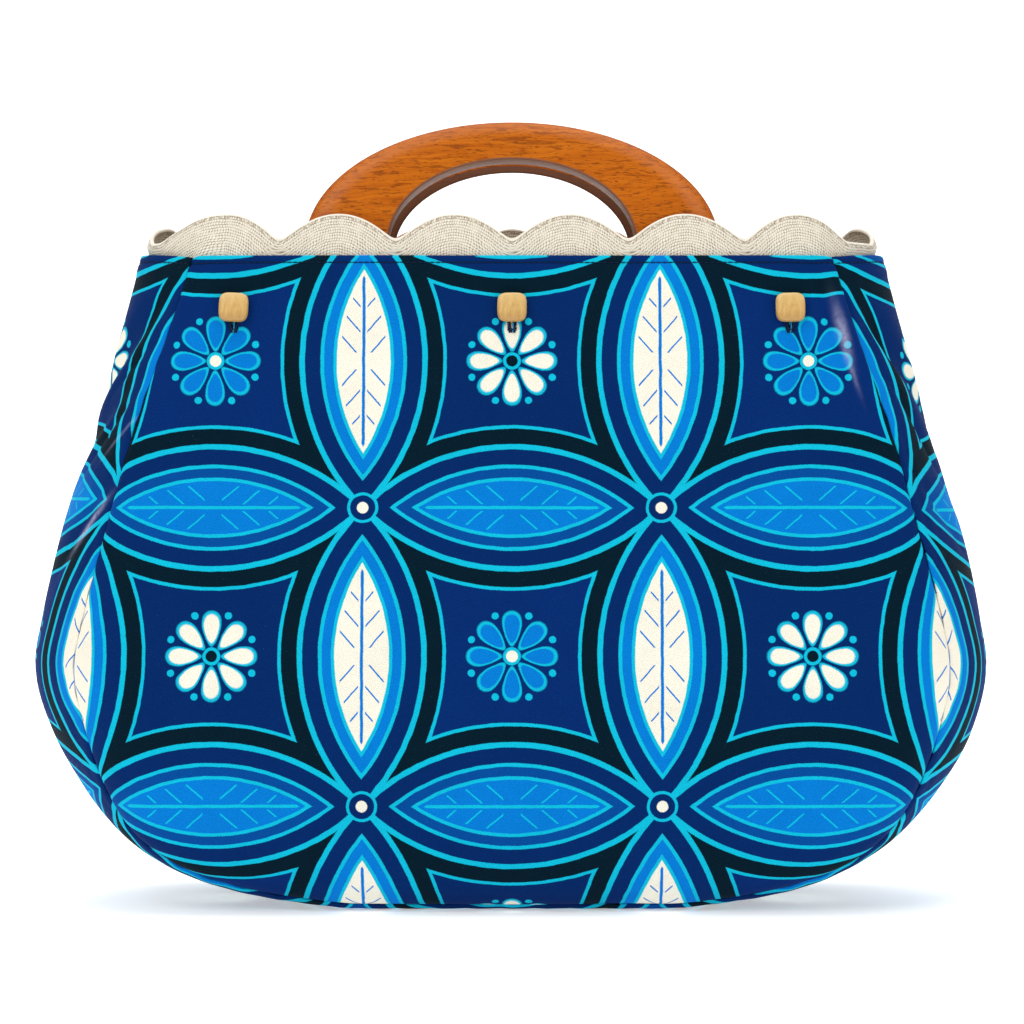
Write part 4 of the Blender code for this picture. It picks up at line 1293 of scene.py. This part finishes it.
def braid():
    """The scalloped band. Its beads and rows are in its cloth, along and across each scallop's edge."""
    radius = BRAID / 2
    heights = (COVER_HEIGHT - BRAID_BELOW_COVER, COVER_HEIGHT, COVER_HEIGHT + CREST_ABOVE_COVER)
    loops = [level_section(z, BRAID_INSET, BRAID_INSET + END_CLEARANCE, (30, 20)) for z in heights]
    around = loop_lengths(loops[1])[1][-1]
    parts = scallops(around)
    run = np.concatenate([part.columns()[:-1] for part in parts])
    edge = np.concatenate([part.edge(part.columns()[:-1]) for part in parts])
    for _ in range(BRAID_SOFTENING):
        edge = (np.roll(edge, 1) + 2 * edge + np.roll(edge, -1)) / 4
    rim = np.stack([round_the_rim(loop, run / around) for loop in loops])
    corner = float(SEAM.half_width(COVER_HEIGHT))
    end = np.maximum(np.abs(rim[1][:, 0]) - corner, 0.0) / GUSSET_BULGE
    cover = end * RIM_RISE
    shown = np.linspace(0.0, 1.0, 40)[:, None]
    hidden = np.linspace(0.0, 1.0, 7)[1:, None]
    top = edge - radius
    above = np.concatenate([top + (cover - top) * shown, cover - (BRAID_BELOW_COVER + cover) * hidden])
    low, high = above[..., None] / BRAID_BELOW_COVER, above[..., None] / CREST_ABOVE_COVER
    points = rim[1] + np.where(low < 0, (rim[0] - rim[1]) * -low, (rim[2] - rim[1]) * high)
    flare = np.clip((above - cover) / END_FLARE_REACH, 0.0, 1.0)
    risen = np.maximum(high[..., 0], 0.0)
    lean = end * (END_FLARE * flare - EAR_LEAN * risen**2 - EAR_CURL * risen**4)
    x = points[..., 0] + lean * np.sign(points[..., 0])
    grid = np.stack([x, points[..., 1], COVER_HEIGHT + above], axis=2)
    normal = loop_normals(grid)
    piping = BRAID_PIPING * np.clip((above - (edge - BRAID_BINDING)) / 0.0003, 0.0, 1.0)
    outer = grid + normal * piping[..., None]
    inner = grid - normal * (BRAID + piping)[..., None]
    centre, half = (outer[0] + inner[0]) / 2, (outer[0] - inner[0]) / 2
    up = outer[0] - outer[2]
    up *= radius / np.linalg.norm(up, axis=1, keepdims=True)
    turn = np.linspace(math.pi, 0.0, 8)[1:-1]
    lip = np.array([centre + half * math.cos(a) + up * math.sin(a) for a in turn])
    ring = np.concatenate([inner[::-1], lip, outer])
    lip_above = above[0] + radius * np.sin(turn)[:, None]
    ring_above = np.concatenate([above[::-1], lip_above, above])
    total, columns = ring.shape[:2]
    maps = np.empty((total - 1, columns, 4, 2))
    first = 0
    for part in parts:
        reach = part.columns()
        count = len(reach) - 1
        used = np.arange(first, first + count + 1) % columns
        height = ring_above[:, used]
        mapped = np.stack(part.rows(np.broadcast_to(reach, height.shape), height), axis=2)
        block = (mapped[:-1, :-1], mapped[1:, :-1], mapped[1:, 1:], mapped[:-1, 1:])
        maps[:, first : first + count] = np.stack(block, axis=2)
        first += count
    faces = grid_faces(total, columns, round_columns=True)
    corners = np.concatenate([maps.reshape(-1, 2), np.full((4 * columns, 2), BRAID_BELOW_COVER)])
    new_piece("braid_scalloped", ring.reshape(-1, 3), faces, BRAID_CLOTH, ["scalloped_trim"],
              corners)


# Handles

def handle(facing):
    """Wooden D with softly rounded edges: a section carried round the pair of outlines."""
    base = -ARCH_ABOVE_COVER - BAR_BELOW_COVER
    outer = d_outline(HANDLE_HALF_WIDTH, ARCH_RISE, base, BAR_CORNER, 120, 8)
    inner = d_outline(GRIP_HALF_WIDTH, GRIP_RISE, base + BAR_HEIGHT, GRIP_CORNER, 120, 8)
    width = np.linalg.norm(outer - inner, axis=1, keepdims=True)
    run = (outer - inner) / width
    radius, deep, face = HANDLE_ROUNDING, HANDLE_ROUNDING_DEEP, HANDLE_THICKNESS / 2 - HANDLE_CROWN
    turn = np.linspace(0.0, math.pi / 2, 9)
    section = []
    for a in turn:
        away, down = 1.0 - math.cos(a), 1.0 - math.sin(a)
        section.append((GRIP_ROUNDING * away + 0.0 * width, face - GRIP_ROUNDING * down))
    for share in np.linspace(0, 1, 15)[1:-1]:
        across = GRIP_ROUNDING + share * (width - GRIP_ROUNDING - radius)
        section.append((across, face + HANDLE_CROWN * math.sin(math.pi * share)))
    for a in turn[::-1]:
        away, down = 1.0 - math.cos(a), 1.0 - math.sin(a)
        section.append((width - radius * away, face - deep * down))
    section += [(across, -rise) for across, rise in reversed(section)]
    rings = [np.insert(inner + run * across, 2, rise, axis=1) for across, rise in section]
    grid = np.array(rings)
    faces = grid_faces(*grid.shape[:2], round_columns=True)[:, [0, 3, 2, 1]]
    name = SIDE[facing]
    place = leaning(facing) @ Matrix.Translation((0.0, ARCH_ABOVE_COVER, HANDLE_THICKNESS / 2))
    new_piece(f"wood_handle_{name}", grid.reshape(-1, 3), faces, HANDLE_WOOD,
              [f"handle_{name}"], matrix=place)


def handle_casing(facing):
    """Linen casing sewn round the handle's bar."""
    low = -BAR_BELOW_COVER - CLEARANCE - LOOP_CLOTH
    high = low + BAR_HEIGHT + 2 * (CLEARANCE + LOOP_CLOTH)
    far = HANDLE_THICKNESS + CLEARANCE + LOOP_CLOTH
    corner, steps = CASING_CORNER, 6
    path = [(high, 0.0)]
    for centre, start in (((high - corner, far - corner), 0), ((low + corner, far - corner), 90)):
        for k in range(steps + 1):
            angle = math.radians(start + 90 * k / steps)
            path.append((centre[0] + corner * math.cos(angle), centre[1] + corner * math.sin(angle)))
    path.append((low, 0.0))
    path = np.array(path)
    gone = distance_along(path)
    at = np.unique(np.concatenate([gone, np.linspace(0, gone[-1], 60)]))
    y, z = np.interp(at, gone, path[:, 0]), np.interp(at, gone, path[:, 1])
    x = np.linspace(-LOOP_HALF_WIDTH, LOOP_HALF_WIDTH, 91)
    grid = np.stack([x[None, :] + 0 * y[:, None], y[:, None] + 0 * x, z[:, None] + 0 * x], axis=2)
    ripple = CASING_RIPPLE * np.sin(x / 0.0021)[None, :] * np.sin(at / 0.0037)[:, None]
    edge = np.minimum(x + LOOP_HALF_WIDTH, LOOP_HALF_WIDTH - x)
    groove = CASING_GROOVE * np.exp(-((edge - CASING_GROOVE_AT) / CASING_GROOVE_WIDTH) ** 2)[None, :]
    grid = grid + grid_normals(grid) * (ripple - groove)[..., None]
    uv = np.stack([grid[..., 0], at[:, None] + 0 * x], axis=2)
    points, faces, corners = sheet(grid, uv, LOOP_CLOTH, False, False)
    name = SIDE[facing]
    new_piece(f"linen_casing_{name}", points, faces, LINEN_CLOTH, [f"handle_loop_{name}"], corners,
              leaning(facing))
    normals = grid_normals(grid)
    paths = []
    for column in (4, -5):
        paths += stitch_run(grid[:, column], normals[:, column], inset=0.001)
    points, faces = capsules(paths, STITCH_RADIUS)
    new_piece(f"casing_stitches_{name}", points, faces, LINEN_THREAD, matrix=leaning(facing))


# Buttons

def button(number, facing):
    """Pillowed rounded-square button on a thread shank, with its sewn buttonhole."""
    x, z = (number - 2) * BUTTON_SPACING, COVER_HEIGHT - BUTTON_BELOW_COVER
    face = float(panel_depth(np.array([x]), np.array([z]))[0])
    place = Matrix.Translation((x, facing * face, z)) @ Matrix.Rotation(facing * RIM_LEAN, 4, "X")
    tilt = math.radians(BUTTON_TILTS[number - 1])
    angles = math.tau * np.arange(72) / 72 + math.pi / 72
    across, up = np.abs(np.cos(angles)), np.abs(np.sin(angles))
    reach = (across**BUTTON_SQUARENESS + up**BUTTON_SQUARENESS) ** (-1 / BUTTON_SQUARENESS) * BUTTON_SIDE / 2
    points = []
    for share, height in BUTTON_PROFILE:
        for a, r in zip(angles, reach):
            up = facing * (CLEARANCE + BUTTON_THICKNESS * height)
            points.append((share * r * math.cos(a + tilt), up, share * r * math.sin(a + tilt)))
    columns = len(angles)
    faces = grid_faces(len(BUTTON_PROFILE), columns)
    faces = (faces if facing < 0 else faces[:, ::-1]).tolist()
    top = list(range(columns))
    bottom = [(len(BUTTON_PROFILE) - 1) * columns + k for k in range(columns)]
    faces.append(top if facing < 0 else top[::-1])
    faces.append(bottom[::-1] if facing < 0 else bottom)
    wall = CANVAS + CLEARANCE + BRAID
    line = [(0, facing * at, 0) for at in (-wall, -wall / 2, 2 * CLEARANCE)]
    stem, stem_faces = tube(line, SHANK_RADIUS, 12, 1.0)
    points, faces = merged([(points, faces), (stem, stem_faces)])
    label = f"{SIDE[facing]}_{number}"
    new_piece(f"wood_button_{label}", points, faces, BUTTON_WOOD, [f"button_{label}"],
              matrix=place)
    out = facing * 0.00002
    paths = []
    half_length = BUTTONHOLE_LENGTH / 2
    for k in range(HOLE_STITCHES):
        height = -BUTTONHOLE_DROP - half_length + BUTTONHOLE_LENGTH * k / (HOLE_STITCHES - 1)
        for edge in (-1, 1):
            outer = HOLE_STITCH_OUTER + RANDOM.uniform(-HOLE_STITCH_JITTER, HOLE_STITCH_JITTER)
            slanted = height + RANDOM.uniform(-HOLE_STITCH_JITTER, HOLE_STITCH_JITTER)
            start, end = (edge * HOLE_STITCH_INNER, out, height), (edge * outer, out, slanted)
            paths.append((start, end, (0, facing, 0)))
    for end in (-1, 1):
        for k in range(3):
            height = -BUTTONHOLE_DROP + end * (half_length + 0.0002 + 0.0003 * k)
            paths.append(((-HOLE_BAR, out, height), (HOLE_BAR, out, height), (0, facing, 0)))
    points, faces = capsules(paths, HOLE_THREAD_RADIUS)
    new_piece(f"buttonhole_stitches_{label}", points, faces, NAVY_THREAD, matrix=place)
    sway = RANDOM.uniform(-THREAD_SWAY, THREAD_SWAY)
    low = -BUTTON_SIDE / 2
    t = np.linspace(0, 1, 24)
    bow = np.sin(math.pi * t)
    round_loop = np.stack([0.0013 * np.cos(math.pi * t) + sway * bow, facing * (0.0005 + 0.0006 * bow),
                           low + 0.0008 - 0.0034 * bow], axis=1)
    points, faces = tube(round_loop, LOOP_THREAD_RADIUS, ends=0.7)
    new_piece(f"button_loop_{label}", points, faces, NAVY_THREAD, matrix=place)
    stroke = np.stack([sway * t + 0.0003 * bow, facing * (0.0007 + 0.0006 * bow), low + 0.0010 - 0.0046 * t],
                      axis=1)
    points, faces = tube(stroke, BLUE_THREAD_RADIUS, ends=0.6)
    new_piece(f"button_thread_{label}", points, faces, BLUE_THREAD, matrix=place)


stitches = []
for panel_name, towards in (("cover_front", -1), ("cover_back", 1)):
    panel_grid, panel_normals, panel_uv = cover_panel(panel_name, towards)
    hem = row_at(panel_grid, panel_uv, HEM_STITCH_BELOW)
    stitches += stitch_run(hem, panel_normals[2])
    handle(towards)
    handle_casing(towards)
    for button_number in (1, 2, 3):
        button(button_number, towards)
strip_grid, strip_normals, strip_uv = cover_gusset()
left_hem = row_at(strip_grid[:HEM_ROWS], strip_uv[:HEM_ROWS], HEM_STITCH_BELOW)
right_uv = strip_uv[::-1][:HEM_ROWS] * [1.0, -1.0] + [0.0, -2 * SEAM.length]
right_hem = row_at(strip_grid[::-1][:HEM_ROWS], right_uv, HEM_STITCH_BELOW)
stitches += stitch_run(left_hem, strip_normals[2])
stitches += stitch_run(right_hem, strip_normals[-3])
stitch_points, stitch_faces = capsules(stitches, STITCH_RADIUS)
new_piece("hem_topstitch", stitch_points, stitch_faces, NAVY_THREAD)
purse()
braid()


# Stage, light and camera

def stage():
    """Plain pale floor that turns up into a backdrop."""
    profile = [(FLOOR_FRONT, 0.0), (FLOOR_BACK, 0.0)]
    for k in range(1, 13):
        angle = math.radians(90 * k / 12)
        profile.append((FLOOR_BACK + math.sin(angle), 1.0 - math.cos(angle)))
    profile.append((FLOOR_BACK + 1.0, BACKDROP_TOP))
    points = [(x, y, z) for y, z in profile for x in (-FLOOR_SIDE, FLOOR_SIDE)]
    faces = [[2 * k, 2 * k + 1, 2 * k + 3, 2 * k + 2] for k in range(len(profile) - 1)]
    mesh = bpy.data.meshes.new("floor")
    mesh.from_pydata(points, [], faces)
    mesh.shade_smooth()
    material, shader = surface("floor_paper", Roughness=0.9, Specular_IOR_Level=0.1,
                               Emission_Color=(1.0, 1.0, 1.0, 1.0), Emission_Strength=FLOOR_GLOW)
    x, y, z = places("object")
    paper = mix(noise(vector(x, y, z), 0.02, 3.0), (0.86, 0.86, 0.86), (0.90, 0.90, 0.90))
    plug(paper, shader.inputs["Base Color"])
    mesh.materials.append(material)
    made = placed("floor", mesh)


def area_light(name, place, target, size, power, colour=(1.0, 1.0, 1.0)):
    data = bpy.data.lights.new(name, "AREA")
    data.shape = "RECTANGLE"
    data.size, data.size_y = size
    data.energy = power
    data.color = colour
    made = placed(name, data)
    made.location = place
    run = np.array(target) - np.array(place)
    yaw = math.atan2(run[1], run[0]) - math.pi / 2
    pitch = math.atan2(run[2], math.hypot(run[0], run[1])) + math.pi / 2
    made.rotation_euler = (pitch, 0.0, yaw)


stage()
area_light("key", (-0.9, -1.3, 1.5), (0.0, 0.0, 0.12), (1.2, 1.2), KEY_POWER)
area_light("fill", (1.3, -1.2, 0.7), (0.0, 0.0, 0.12), (1.4, 1.4), FILL_POWER)
area_light("top", (0.0, 0.1, 1.9), (0.0, 0.0, 0.0), (1.6, 1.2), TOP_POWER)
area_light("backdrop", (0.0, 0.9, 1.6), (0.0, 2.6, 0.6), (2.5, 0.8), BACKDROP_POWER)

world = bpy.data.worlds.new("studio")
world.use_nodes = True
world.node_tree.nodes["Background"].inputs["Color"].default_value = (1.0, 1.0, 1.0, 1.0)
world.node_tree.nodes["Background"].inputs["Strength"].default_value = WORLD_STRENGTH
bpy.context.scene.world = world
bpy.context.scene.view_settings.view_transform = "Standard"

camera_data = bpy.data.cameras.new("camera")
camera_data.sensor_width = 36.0
camera_data.sensor_fit = "HORIZONTAL"
camera_data.lens = 111.4
camera = bpy.data.objects.new("camera", camera_data)
camera.location = (0.0, -1.150, 0.140)
camera.rotation_euler = (math.pi / 2, 0.0, 0.0)
bpy.context.scene.collection.objects.link(camera)
bpy.context.scene.camera = camera

bpy.context.view_layer.update()
